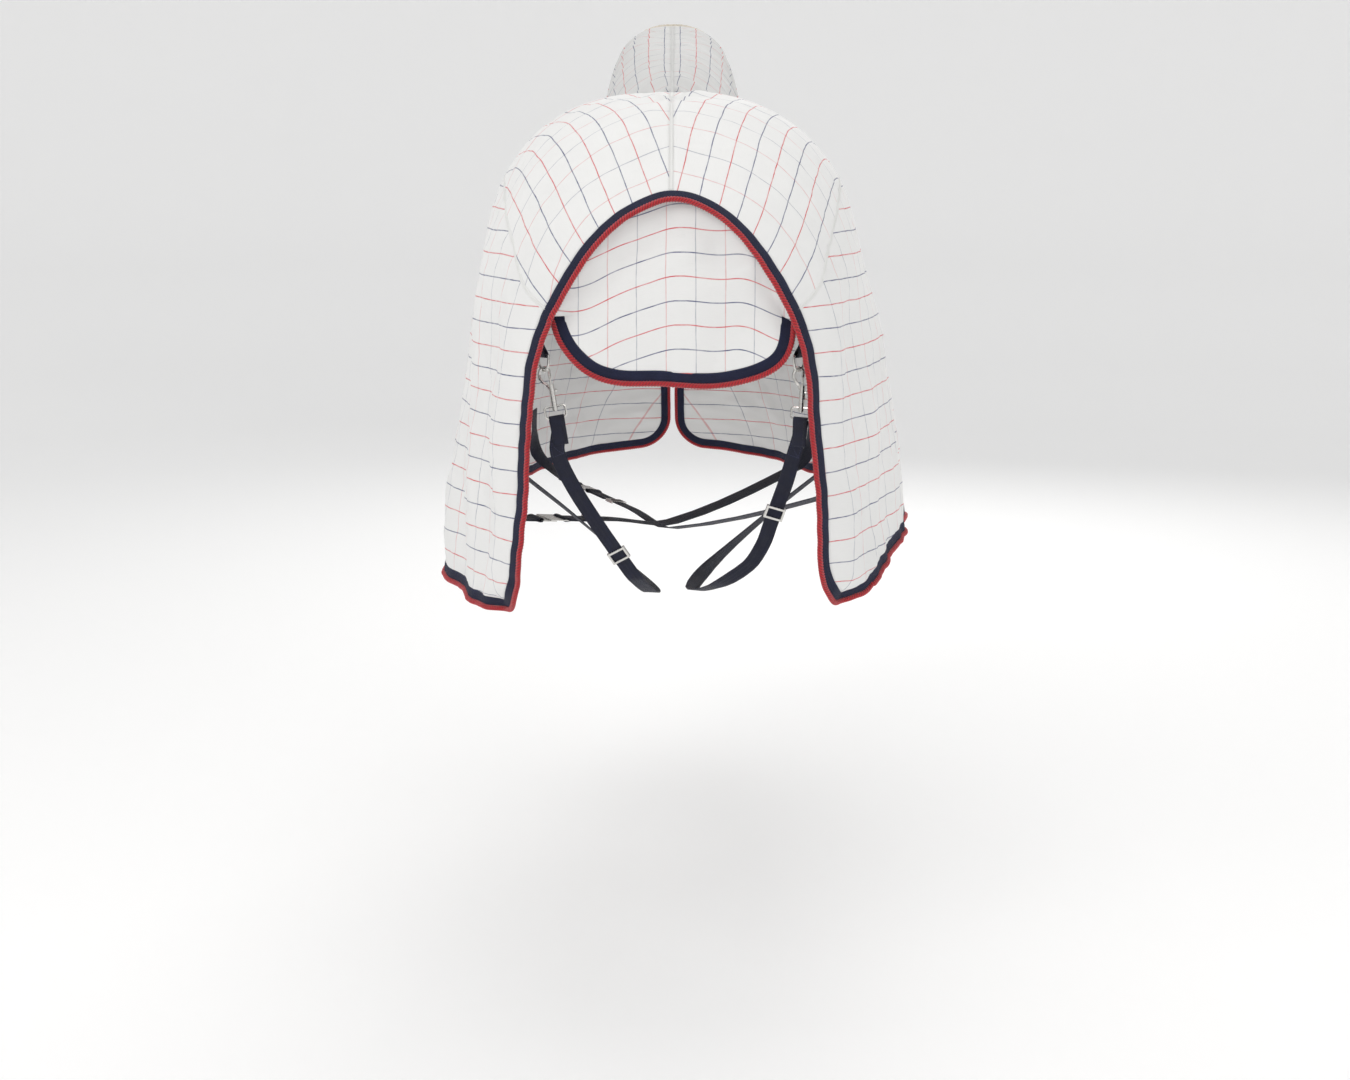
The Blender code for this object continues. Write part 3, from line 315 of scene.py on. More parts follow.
def neck_point(side, u, q, lift=0.0):
    """A point of the gathered neck cover, q of the way from the neckline to the poll."""
    u, q = np.broadcast_arrays(np.asarray(u, float), np.asarray(q, float))
    p = smooth_neck(side, u, q)
    around = (u - WITHERS) / (CHEST - WITHERS)
    hold = smoothstep(q / 0.06) * smoothstep((1 - q) / 0.04) * smoothstep((1 - around) / 0.10)
    bend = q + 0.035 * np.sin(5 * around + 1.0) + 0.012 * ripples(around, q, 0.35, 21)
    depth = GATHER_DEPTH * (0.55 + 0.45 * ripples(q, around, 0.5, 22))
    gathers = depth * np.sin(2 * math.pi * bend / GATHER_SPACING)
    small = 0.0017 * ripples(bend, around * 0.15, 0.045, 23)
    return p + neck_normal(side, u, q) * ((gathers + small) * hold + lift)[..., None]


# --- mesh makers --------------------------------------------------------------------------
def mesh_object(name, points, faces, finish, layers=None):
    """A mesh from points and faces. layers gives each point's place in each UV map."""
    data = bpy.data.meshes.new(name)
    points = np.asarray(points, float).reshape(-1, 3).tolist()
    data.from_pydata(points, [], [list(f) for f in faces])
    data.validate()
    corners = np.empty(len(data.loops), int)
    data.loops.foreach_get("vertex_index", corners)
    for layer, values in (layers or {}).items():
        uv = data.uv_layers.new(name=layer)
        uv.data.foreach_set("uv", np.asarray(values, float).reshape(-1, 2)[corners].reshape(-1))
    data.shade_smooth()
    made = bpy.data.objects.new(name, data)
    bpy.context.scene.collection.objects.link(made)
    data.materials.append(finish)
    return made


def solid_object(name, points, faces, finish, layers=None):
    """A closed mesh, turned so that its faces look outward."""
    made = mesh_object(name, points, faces, finish, layers)
    if signed_volume(made.data) < 0:
        made.data.flip_normals()
    return made


def grid_faces(rows, width, start=0, closed=False, flip=False):
    columns = np.arange(width if closed else width - 1)
    i, j = np.meshgrid(np.arange(rows - 1), columns, indexing="ij")
    k = (j + 1) % width
    quads = np.stack((i * width + j, i * width + k, (i + 1) * width + k, (i + 1) * width + j), -1)
    quads = quads.reshape(-1, 4) + start
    return quads[:, ::-1] if flip else quads


def rim_loop(rows, width):
    top = [j for j in range(width)]
    right = [i * width + width - 1 for i in range(1, rows)]
    bottom = [(rows - 1) * width + j for j in range(width - 2, -1, -1)]
    left = [i * width for i in range(rows - 2, 0, -1)]
    return np.array(top + right + bottom + left)


def two_faced(name, outer, inner, finish, layers=None):
    """A closed sheet between two grids of points."""
    rows, width = outer.shape[:2]
    count = rows * width
    rim = rim_loop(rows, width)
    ahead = np.roll(rim, -1)
    faces = np.concatenate((grid_faces(rows, width, flip=True), grid_faces(rows, width, count),
                            np.stack((rim, ahead, ahead + count, rim + count), -1)))
    points = np.concatenate((outer.reshape(-1, 3), inner.reshape(-1, 3)))
    both = {k: np.concatenate((a.reshape(-1, 2),) * 2) for k, a in (layers or {}).items()}
    return solid_object(name, points, faces, finish, both)


def cloth(name, middle, normals, finish, layers):
    """A thin closed sheet about a grid of points."""
    half = normals * FABRIC / 2
    return two_faced(name, middle + half, middle - half, finish, layers)


def path_lengths(path):
    """Distance along a path to each of its points."""
    return np.concatenate(([0.0], np.cumsum(np.linalg.norm(np.diff(path, axis=0), axis=1))))


def resample(path, step, *more):
    """Points evenly spaced along a path, with the values that go with them, and distances."""
    path = np.asarray(path, float)
    lengths = path_lengths(path)
    at = np.linspace(0, lengths[-1], max(3, int(round(lengths[-1] / step)) + 1))

    def along(values):
        return np.stack([np.interp(at, lengths, values[:, k]) for k in range(3)], -1)

    return [along(path), *(along(m) for m in more), at]


def tube_faces(rings, around):
    """The sides and the two ends of a tube whose rings of points follow each other."""
    last = (rings - 1) * around
    return grid_faces(rings, around, closed=True).tolist() + [
        list(range(around))[::-1], list(range(last, last + around))]


def tube(name, centres, across, up, shape, finish, layers=None):
    """A closed section carried along a path; shape gives its (across, up) points at each centre."""
    points = centres[:, None] + shape[..., :1] * across[:, None] + shape[..., 1:] * up[:, None]
    return solid_object(name, points, tube_faces(*shape.shape[:2]), finish, layers)


def sweep(name, centres, across, up, section, finish, distances):
    """A flat section carried along a path."""
    shape = np.broadcast_to(section, (len(centres), *section.shape))
    run = np.stack(np.broadcast_arrays(distances[:, None], path_lengths(section)[None]), -1)
    return tube(name, centres, across, up, shape, finish, {"run": run})


def signed_volume(data):
    data.calc_loop_triangles()
    tris = np.empty(len(data.loop_triangles) * 3, int)
    data.loop_triangles.foreach_get("vertices", tris)
    co = np.empty(len(data.vertices) * 3)
    data.vertices.foreach_get("co", co)
    a, b, c = co.reshape(-1, 3)[tris.reshape(-1, 3)].transpose(1, 0, 2)
    return float(np.einsum("ij,ij->i", a, np.cross(b, c)).sum() / 6)


def rounded(width, thickness, per_end=5, crown=0.0):
    """A flat section with round edges: its points, going round."""
    half, r = width / 2 - thickness / 2, thickness / 2
    right = [(half + r * math.cos(a), r * math.sin(a)) for a in np.linspace(-1.57, 1.57, per_end)]
    flat = [(half * t, r * (1 + crown * (1 - t * t))) for t in (0.5, 0.0, -0.5)]
    left = [(-x, -y) for x, y in right]
    under = [(half * t, -r) for t in (-0.5, 0.0, 0.5)]
    return np.array(right + flat + left + under)


# --- shader helpers -----------------------------------------------------------------------
class Shader:
    """Short names for the nodes the finishes are made of."""

    def __init__(self, name):
        self.material = bpy.data.materials.new(name)
        self.material.use_nodes = True
        self.tree = self.material.node_tree
        self.out = self.tree.nodes["Principled BSDF"]

    def node(self, kind, inputs=(), **settings):
        made = self.tree.nodes.new(kind)
        for key, value in settings.items():
            setattr(made, key, value)
        for socket, value in dict(inputs).items():
            self.put(made.inputs[socket], value)
        return made

    def put(self, socket, value):
        if isinstance(value, bpy.types.NodeSocket):
            self.tree.links.new(value, socket)
        elif isinstance(value, tuple) and len(value) == 3 and socket.type == "RGBA":
            socket.default_value = (*value, 1.0)
        else:
            socket.default_value = value

    def math(self, operation, a, b=0.0, c=0.0, clamp=False):
        made = self.node("ShaderNodeMath", {0: a, 1: b, 2: c}, operation=operation)
        made.use_clamp = clamp
        return made.outputs[0]

    def uv(self, layer):
        place_ = self.node("ShaderNodeUVMap", uv_map=layer)
        split = self.node("ShaderNodeSeparateXYZ", {0: place_.outputs[0]})
        return split.outputs[0], split.outputs[1]

    def point(self):
        return self.node("ShaderNodeTexCoord").outputs["Object"]

    def noise(self, at, scale, detail=3.0, roughness=0.55):
        made = self.node("ShaderNodeTexNoise", {"Vector": at, "Scale": scale, "Detail": detail,
                                               "Roughness": roughness})
        return made.outputs["Fac"]

    def wave(self, value, period):
        """Between 0 and 1, with that period."""
        turned = self.math("MULTIPLY", value, 2 * math.pi / period)
        return self.math("MULTIPLY_ADD", self.math("SINE", turned), 0.5, 0.5)

    def fit(self, value, low, high, to_low=0.0, to_high=1.0, smooth=False):
        made = self.node("ShaderNodeMapRange", {0: value, 1: low, 2: high, 3: to_low, 4: to_high})
        made.interpolation_type = "SMOOTHSTEP" if smooth else "LINEAR"
        return made.outputs[0]

    def mix(self, share, a, b):
        made = self.node("ShaderNodeMix", data_type="RGBA")
        for socket, value in zip((made.inputs[0], made.inputs[6], made.inputs[7]), (share, a, b)):
            self.put(socket, value)
        return made.outputs[2]

    def join(self, x, y, z=0.0):
        return self.node("ShaderNodeCombineXYZ", {0: x, 1: y, 2: z}).outputs[0]

    def bump(self, height, depth, strength=1.0):
        made = self.node("ShaderNodeBump", {"Height": height, "Strength": strength,
                                           "Distance": depth})
        self.put(self.out.inputs["Normal"], made.outputs[0])

    def finish(self, colour, roughness, **constants):
        self.put(self.out.inputs["Base Color"], colour)
        self.put(self.out.inputs["Roughness"], roughness)
        for socket, value in constants.items():
            self.put(self.out.inputs[socket.replace("_", " ")], value)
        return self.material


RED_LINE = (0.62, 0.045, 0.06)
NAVY_LINE = (0.030, 0.045, 0.16)


def check_lines(s, value, spacing, width):
    """How much of a line covers the cloth at value, and 1 where that line is navy."""
    turn = s.math("ADD", s.math("DIVIDE", value, spacing), 0.5)
    off = s.math("MULTIPLY", s.math("ABSOLUTE", s.math("SUBTRACT", s.math("FRACT", turn), 0.5)),
                 spacing)
    cover = s.fit(off, width * 0.65, width * 0.35, smooth=True)
    navy = s.math("GREATER_THAN", s.math("FRACT", s.math("MULTIPLY", s.math("FLOOR", turn), 0.5)),
                  0.25)
    return cover, navy


def check_cloth(name, turned, painted_shade=1.0, crease_depth=0.0016):
    """White woven cloth with a fine red and navy check, by distances in metres in its UV maps."""
    s = Shader(name)
    down, along = s.uv("level")
    if turned:
        rump_down, rump_along = s.uv("rump")
        above = s.math("GREATER_THAN", s.uv("dart")[0], 0.0)
        down = s.math("MULTIPLY_ADD", s.math("SUBTRACT", rump_down, down), above, down)
        along = s.math("MULTIPLY_ADD", s.math("SUBTRACT", rump_along, along), above, along)
    here = s.point()
    wander = s.math("MULTIPLY_ADD", s.noise(here, 9.0, 2.0), 0.006, -0.003)
    strong, strong_navy = check_lines(s, s.math("ADD", down, wander), STRONG_SPACING, STRONG_WIDTH)
    faint, faint_navy = check_lines(s, s.math("ADD", along, wander), FAINT_SPACING, FAINT_WIDTH)
    cloudy = s.noise(here, 3.5, 4.0)
    # A factor below 1 here scales the whites down evenly, which paints shade into this copy of the
    # cloth.
    white = s.mix(cloudy, tuple(c * painted_shade for c in (0.78, 0.78, 0.775)),
                  tuple(c * painted_shade for c in (0.88, 0.88, 0.87)))
    threads = s.join(s.math("MULTIPLY", down, 900.0), s.math("MULTIPLY", along, 60.0))
    slub = s.noise(threads, 1.0, 2.0)
    white = s.mix(s.fit(slub, 0.55, 0.8, 0.0, 0.35), white, (0.73, 0.73, 0.72))
    uneven = s.fit(s.noise(here, 60.0, 2.0), 0.3, 0.7, 0.55, 1.0)
    strong_share = s.math("MULTIPLY", s.math("MULTIPLY", strong, uneven), 0.98)
    faint_share = s.math("MULTIPLY", s.math("MULTIPLY", faint, uneven), 0.50)
    colour = s.mix(faint_share, white, s.mix(faint_navy, RED_LINE, NAVY_LINE))
    colour = s.mix(strong_share, colour, s.mix(strong_navy, RED_LINE, NAVY_LINE))
    weave = s.math("ADD", s.wave(down, 0.0009), s.wave(along, 0.0011))
    crease = s.noise(here, 26.0, 5.0, 0.62)
    height = s.math("ADD", s.math("MULTIPLY", weave, 0.06), crease)
    s.bump(height, crease_depth, 0.6)
    rough = s.fit(cloudy, 0.3, 0.7, 0.78, 0.92)
    return s.finish(colour, rough, Sheen_Weight=0.25, Sheen_Roughness=0.5, Specular_IOR_Level=0.25)


def braid_finish():
    """Navy herringbone: slanting ribs that turn back half way across."""
    s = Shader("navy_braid")
    along, around = s.uv("run")
    band = 0.0052
    share = s.math("FRACT", s.math("DIVIDE", around, band))
    fold = s.math("ABSOLUTE", s.math("SUBTRACT", share, 0.5))
    slant = s.math("ADD", along, s.math("MULTIPLY", fold, band * 1.6))
    rib = s.wave(slant, 0.0021)
    fine = s.wave(around, 0.0008)
    here = s.point()
    worn = s.noise(here, 45.0, 4.0)
    colour = s.mix(rib, (0.003, 0.004, 0.014), (0.030, 0.036, 0.090))
    colour = s.mix(s.fit(worn, 0.45, 0.75, 0.0, 0.35), colour, (0.036, 0.042, 0.095))
    s.bump(s.math("ADD", rib, s.math("MULTIPLY", fine, 0.3)), 0.0007, 0.9)
    return s.finish(colour, s.fit(worn, 0.3, 0.7, 0.72, 0.9), Sheen_Weight=0.08,
                    Sheen_Roughness=0.4, Specular_IOR_Level=0.25)


def rope_finish():
    """Red twisted cord: fine fibres along its strands, painted lighter as a painted highlight, with
    painted shade between the strands.
    """
    s = Shader("red_cord")
    along, around = s.uv("run")
    crest_vs_painted_shade = s.uv("strand")[0]
    fibre_and_painted_highlight = s.wave(s.math("ADD", along, around), 0.0010)
    here = s.point()
    patch = s.noise(here, 80.0, 3.0)
    # Painted shade: the cord is painted near black in the crevices between its strands and red on
    # their crests.
    colour = s.mix(crest_vs_painted_shade, (0.060, 0.001, 0.004), (0.62, 0.016, 0.028))
    # Painted highlight: the fine fibres are painted a lighter red along their ridges.
    colour = s.mix(s.math("MULTIPLY", fibre_and_painted_highlight, 0.35), colour, (0.80, 0.10, 0.11))
    colour = s.mix(s.fit(patch, 0.5, 0.75, 0.0, 0.3), colour, (0.48, 0.012, 0.022))
    s.bump(s.math("ADD", fibre_and_painted_highlight, patch), 0.0004, 0.8)
    return s.finish(colour, s.fit(patch, 0.3, 0.7, 0.45, 0.65), Sheen_Weight=0.3,
                    Sheen_Roughness=0.35, Specular_IOR_Level=0.4)


def webbing_finish(width):
    """Navy webbing: ribs across it in a fine chevron."""
    s = Shader(f"navy_webbing_{int(width * 1000)}")
    along, across = s.uv("run")
    fold = s.math("PINGPONG", across, 0.0032)
    slant = s.math("ADD", along, s.math("MULTIPLY", fold, 0.7))
    rib = s.wave(slant, 0.0017)
    warp = s.wave(across, 0.0012)
    here = s.point()
    worn = s.noise(here, 55.0, 4.0)
    colour = s.mix(s.math("MULTIPLY", rib, warp), (0.0045, 0.0055, 0.015), (0.020, 0.024, 0.060))
    colour = s.mix(s.fit(worn, 0.5, 0.8, 0.0, 0.4), colour, (0.032, 0.037, 0.080))
    s.bump(s.math("ADD", rib, s.math("MULTIPLY", warp, 0.5)), 0.0005, 0.8)
    return s.finish(colour, s.fit(worn, 0.3, 0.7, 0.62, 0.82), Sheen_Weight=0.15,
                    Sheen_Roughness=0.4, Specular_IOR_Level=0.4)


def nickel_finish():
    s = Shader("bright_nickel")
    here = s.point()
    cloudy = s.noise(here, 130.0, 5.0)
    scuffs = s.noise(s.node("ShaderNodeVectorMath", {0: here, 1: (900.0, 160.0, 420.0)},
                            operation="MULTIPLY").outputs[0], 1.0, 2.0)
    colour = s.mix(cloudy, (0.52, 0.51, 0.49), (0.80, 0.79, 0.76))
    s.bump(s.math("ADD", cloudy, scuffs), 0.00015, 0.35)
    return s.finish(colour, s.fit(scuffs, 0.35, 0.75, 0.16, 0.36), Metallic=1.0)


def fleece_finish():
    s = Shader("cream_fleece")
    here = s.point()
    tuft = s.noise(here, 190.0, 6.0, 0.7)
    cloudy = s.noise(here, 28.0, 3.0)
    colour = s.mix(tuft, (0.52, 0.45, 0.36), (0.90, 0.86, 0.77))
    colour = s.mix(s.fit(cloudy, 0.4, 0.7, 0.0, 0.4), colour, (0.80, 0.73, 0.60))
    s.bump(s.math("ADD", tuft, s.math("MULTIPLY", cloudy, 0.6)), 0.004, 1.0)
    return s.finish(colour, 0.95, Sheen_Weight=0.6, Sheen_Roughness=0.6, Specular_IOR_Level=0.1)


def thread_finish(name, dark, light):
    """Sewing thread and taped seams: a fine twill over one colour."""
    s = Shader(name)
    along, across = s.uv("run")
    twill = s.wave(s.math("ADD", along, across), 0.0012)
    here = s.point()
    patch = s.noise(here, 60.0, 3.0)
    colour = s.mix(s.math("MULTIPLY_ADD", twill, 0.5, s.math("MULTIPLY", patch, 0.5)), dark, light)
    s.bump(twill, 0.0003, 0.7)
    return s.finish(colour, s.fit(patch, 0.3, 0.7, 0.7, 0.9), Specular_IOR_Level=0.3)


BODY_CLOTH = check_cloth("white_check_body", True)
FLAP_CLOTH = check_cloth("white_check_flap", False)
# The neck's copy of the cloth has its whites at 0.84 of the body's: painted shade.
NECK_CLOTH = check_cloth("white_check_neck_painted_shade", False, 0.84, 0.0034)
BRAID = braid_finish()
CORD = rope_finish()
WEB = webbing_finish(WEB_WIDTH)
WIDE_WEB = webbing_finish(GIRTH_WIDTH)
NICKEL = nickel_finish()
PILE = fleece_finish()
SEAM_TAPE = thread_finish("white_seam_tape", (0.80, 0.80, 0.79), (0.90, 0.90, 0.885))
# The crest seam's tape is the white seam tape painted grey: painted shade, to match the neck cloth.
NECK_TAPE_PAINTED_SHADE = thread_finish("neck_seam_tape_painted_shade", (0.62, 0.62, 0.615), (0.70, 0.70, 0.69))
WHITE_THREAD = thread_finish("white_thread", (0.72, 0.72, 0.70), (0.90, 0.90, 0.88))
NAVY_THREAD = thread_finish("navy_thread", (0.035, 0.040, 0.090), (0.090, 0.10, 0.18))


def settle(made, body, slot, *nodes):
    """Rides a piece on its body and hides the CAD parts it stands for; slot is not used."""
    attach(made, body)
    if nodes:
        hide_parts(*nodes)
    return made


# --- body panels --------------------------------------------------------------------------
def column_grid(step=0.008):
    out = [0.0]
    for i, (a, b) in enumerate(zip(BODY_COLUMNS, BODY_COLUMNS[1:])):
        length = np.linalg.norm(np.subtract(b[1], a[1]))
        count = max(4, int(round(length / step)))
        out += list(i + np.arange(1, count + 1) / count)
    return np.array(out)


def row_grid():
    corner = np.sin(np.linspace(0, math.pi / 2, 16)) * (1 - HEM_CORNER_ROW) + HEM_CORNER_ROW
    return np.concatenate((np.linspace(0, HEM_CORNER_ROW, 112), corner[1:]))


def dart_row(u):
    """Row of the hip dart, which runs forward from the tail arch until it fades out."""
    return DART_ROW + 0.020 * u - 0.006 * u * u


def body_panel(word):
    side = SIDES[word]
    v, u = np.meshgrid(row_grid(), column_grid(), indexing="ij")
    p = body_point(side, u, v)
    p[0, :, 0] = np.where(u[0] <= WITHERS, 0.0, p[0, :, 0])
    smooth = smooth_point(side, u, v)
    down = np.linalg.norm(np.diff(smooth, axis=0), axis=2)
    down = np.concatenate((np.zeros((1, u.shape[1])), np.cumsum(down, axis=0)))
    y = smooth[..., 1] + ORIGIN[1]
    level_row = np.argmin(np.abs(v[:, 0] - SIDE_ROW))
    level = down - down[level_row] + LEVEL - smooth[level_row, :, 2] - ORIGIN[2]
    tip = np.argmin(np.abs(u[0] - DART_TIP))
    lean = RUMP_TURN[side]
    ahead = RUMP_FRONT - y
    shift = lean * 0.5 * (ahead + np.sqrt(ahead**2 + 0.08**2))
    rump = down - down[level_row, tip] + LEVEL - smooth[level_row, tip, 2] - ORIGIN[2] + shift
    first = np.argmin(np.abs(u[0] - ARCH_CUT))
    phase = FIRST_LINE[side] - rump[0, first]
    fade = smoothstep((u - 2.2) / 1.2)
    layers = {
        "level": np.stack((level + phase, y), -1),
        "rump": np.stack((rump * (1 - fade) + level * fade + phase,
                          y + lean * down * (1 - fade)), -1),
        "dart": np.stack((dart_row(u) - v, np.zeros_like(v)), -1),
    }
    normals = body_normal(side, u, v)
    made = cloth(f"body_cloth_{word}", p, normals, BODY_CLOTH, layers)
    return settle(made, "sheet", "white_check_cloth", f"body_panel_{word}")


def strip(name, points, normals, width, finish, lift, thickness=0.0007, step=0.006):
    """A flat tape laid along points on the cloth."""
    centres, up, at = resample(points, step, normals)
    up = unit(up)
    along = unit(np.gradient(centres, axis=0))
    across = unit(np.cross(along, up))
    centres = centres + up * lift
    return sweep(name, centres, across, up, rounded(width, thickness, 3), finish, at)


def stitches(name, points, normals, finish, lift, radius=0.00045, length=0.0030, gap=0.0014):
    """A row of separate stitches, each a small rod whose ends dip into the cloth, as one mesh."""
    centres, up, at = resample(points, length + gap, normals)
    up = unit(up)
    along = unit(np.gradient(centres, axis=0))
    across = unit(np.cross(along, up))
    count, around = len(centres), 5
    angles = np.linspace(0, 2 * math.pi, around, endpoint=False)
    rings = np.array([-0.5, -0.3, 0.3, 0.5]) * length
    dip = np.array([-0.8, 0.0, 0.0, -0.8]) * radius
    grow = np.array([0.4, 1.0, 1.0, 0.4]) * radius
    points, faces, uv = [], [], []
    for ring, low, r in zip(rings, dip, grow):
        points.append(centres[:, None] + along[:, None] * ring
                      + across[:, None] * (np.cos(angles) * r)[None, :, None]
                      + up[:, None] * (np.sin(angles) * r + lift + low)[None, :, None])
        uv.append(np.stack(np.broadcast_arrays((at + ring)[:, None], (angles * r)[None]), -1))
    points = np.stack(points, 1).reshape(count, -1, 3)
    uv = np.stack(uv, 1).reshape(count, -1, 2)
    one = tube_faces(len(rings), around)
    for i in range(count):
        faces += [[i * len(rings) * around + k for k in f] for f in one]
    return solid_object(name, points, faces, finish, {"run": uv})


def body_line(side, us, vs):
    us, vs = np.broadcast_arrays(np.asarray(us, float), np.asarray(vs, float))
    return body_point(side, us, vs), body_normal(side, us, vs)


def body_seams():
    """The spine seam, the hip darts and the rows of stitching beside them."""
    u = np.linspace(0.02, WITHERS, 260)
    points, normals = body_line(1, u, np.zeros_like(u))
    points[:, 0] = 0.0
    normals[:, 0] = 0.0
    normals = unit(normals)
    tape = strip("spine_seam", points, normals, 0.0070, SEAM_TAPE, TAPE_LIFT)
    settle(tape, "sheet", "white_check_cloth")
    aside = vector(0.0022, 0, 0)
    for word, side in SIDES.items():
        row = stitches(f"spine_stitch_{word}", points + aside * side, normals, WHITE_THREAD,
                       FABRIC / 2 + 0.0008)
        settle(row, "sheet", "white_check_cloth")
    for word, side in SIDES.items():
        u = np.linspace(0.0, 2.9, 90)
        points, normals = body_line(side, u, dart_row(u))
        tape = strip(f"dart_seam_{word}", points, normals, 0.0065, SEAM_TAPE, TAPE_LIFT)
        settle(tape, "sheet", "white_check_cloth")
        row = stitches(f"dart_stitch_{word}", points, normals, WHITE_THREAD, FABRIC / 2 + 0.0006)
        settle(row, "sheet", "white_check_cloth")


# --- neck cover ---------------------------------------------------------------------------
def neck_columns():
    out = [float(WITHERS)]
    for i in range(WITHERS, CHEST):
        out += list(i + np.arange(1, 19) / 18)
    return np.array(out)


def neck_panel(word):
    side = SIDES[word]
    q, u = np.meshgrid(np.linspace(0, 1, 118), neck_columns(), indexing="ij")
    p = neck_point(side, u, q)
    p[:, 0, 0] = 0.0
    p[0] = body_point(side, u[0], 0.0 * u[0])
    p[0, :, 0] = np.where(u[0] <= WITHERS, 0.0, p[0, :, 0])
    smooth = smooth_neck(side, u, q)
    around = np.linalg.norm(np.diff(smooth, axis=1), axis=2)
    around = np.concatenate((np.zeros((q.shape[0], 1)), np.cumsum(around, axis=1)), axis=1)
    along = np.linalg.norm(np.diff(smooth, axis=0), axis=2)
    along = np.concatenate((np.zeros((1, q.shape[1])), np.cumsum(along, axis=0)))
    # The gathers bring the cross lines a fifth closer together.
    layers = {"level": np.stack((around + STRONG_SPACING / 2, along * 1.25), -1)}
    made = cloth(f"neck_cloth_{word}", p, neck_normal(side, u, q), NECK_CLOTH, layers)
    return settle(made, "sheet", "white_check_cloth", f"neck_panel_{word}")


def neck_seams():
    q = np.linspace(0.01, 0.995, 150)
    points = neck_point(1, WITHERS + 0 * q, q)
    normals = neck_normal(1, WITHERS + 0 * q, q)
    points[:, 0], normals[:, 0] = 0.0, 0.0
    normals = unit(normals)
    tape = strip("crest_seam", points, normals, 0.0065, NECK_TAPE_PAINTED_SHADE, TAPE_LIFT)
    settle(tape, "sheet", "white_check_cloth")
    for word, side in SIDES.items():
        u = np.linspace(WITHERS + 0.02, CHEST - 0.02, 120)
        points, normals = body_line(side, u, 0 * u)
        tape = strip(f"neckline_seam_{word}", points, normals, 0.010, SEAM_TAPE, 0.0002, 0.0026)
        settle(tape, "sheet", "white_check_cloth")


# --- edges --------------------------------------------------------------------------------
def trim(name, points, normals, towards, body, nodes):
    """Herringbone braid folded over an edge, and the twisted cord sewn to its outer side."""
    centres, up, at = resample(points, 0.005, normals)
    up = unit(up)
    along = unit(np.gradient(centres, axis=0))
    out = unit(np.cross(along, up)) * towards
    wobble = 0.0006 * ripples(at, 0 * at, 0.06, 31)
    width = EDGE_GAP + BINDING_WIDTH + BRAID_OVERLAP
    middle = centres + out * (width / 2 - BRAID_OVERLAP + wobble[:, None] * 0.3)
    braid = sweep(f"{name}_braid", middle, out, up, rounded(width, BRAID_THICK, 5, 0.12), BRAID, at)
    settle(braid, body, "navy_binding", nodes[0])
    for face, way in (("outer", 1), ("inner", -1)):
        line = centres - out * (BRAID_OVERLAP - 0.0016)
        row = stitches(f"{name}_{face}_stitch", line, up * way, NAVY_THREAD,
                       BRAID_THICK / 2 - 0.0002, 0.0004)
        settle(row, body, "navy_binding")

    rope_out = EDGE_GAP + BINDING_WIDTH + ROPE_R - 0.0006
    line = centres + out * rope_out + up * ROPE_LIFT
    line, up, out, at = resample(line, 0.0016, up, out)
    up, out = unit(up), unit(out)
    angles = np.linspace(0, 2 * math.pi, 5 * CORD_STRANDS, endpoint=False)
    turn = 2 * math.pi * at / CORD_PITCH
    lobe = np.abs(np.cos(CORD_STRANDS * (angles[None] - turn[:, None]) / 2))
    radius = ROPE_R * (0.76 + 0.46 * lobe)
    shape = np.stack((np.cos(angles) * radius, np.sin(angles) * radius), -1)
    run = np.stack(np.broadcast_arrays(at[:, None], (angles * ROPE_R)[None]), -1)
    # The strand map's first value falls to 0 in the crevices between strands, where the cord's
    # finish paints shade.
    strand = np.stack((smoothstep(lobe * 1.2 - 0.15), lobe), -1)
    rope = tube(f"{name}_cord", line, out, up, shape, CORD, {"run": run, "strand": strand})
    settle(rope, body, "red_rope", nodes[1])


def hem_trim(word):
    side = SIDES[word]
    corner = row_grid()
    corner = corner[corner > ARCH_ROW[side]]
    down = np.concatenate(([ARCH_ROW[side]], corner))
    us = np.concatenate((0 * down, column_grid()[1:], np.full(len(row_grid()) - 1, CHEST)))
    vs = np.concatenate((down, 0 * column_grid()[1:] + 1, row_grid()[::-1][1:]))
    points = body_point(side, us, vs)
    normals = body_normal(side, us, np.minimum(vs, CORNER_ROW))
    trim(f"hem_{word}", points, normals, side, "sheet", (f"hem_{word}_binding", f"hem_{word}_rope"))


def arch_line(count=70):
    left = np.linspace(ARCH_ROW[-1], 0, count)
    right = np.linspace(0, ARCH_ROW[1], count)[1:]
    a, an = body_line(-1, 0 * left, left)
    b, bn = body_line(1, 0 * right, right)
    a[-1, 0] = 0.0
    points, normals = np.concatenate((a, b)), np.concatenate((an, bn))
    for _ in range(4):
        normals[1:-1] = unit(normals[:-2] + 2 * normals[1:-1] + normals[2:])
        points[1:-1] = (points[:-2] + 2 * points[1:-1] + points[2:]) / 4
    return points, normals


def pile_roll(name, centres, across, up, half, node, seed):
    """A soft roll of fleece along a path, half its height and width, with a lumpy pile."""
    around = 20
    angles = np.linspace(0, 2 * math.pi, around, endpoint=False)
    run = path_lengths(centres)
    turn = angles[None] * np.mean(half)
    tufts = 1 + 0.10 * ripples(run[:, None], turn, 0.008, seed, 12)
    shape = np.stack((np.cos(angles) * half[0] * tufts, np.sin(angles) * half[1] * tufts), -1)
    made = tube(name, centres, across, up, shape, PILE)
    return settle(made, "sheet", "cream_fleece", node)


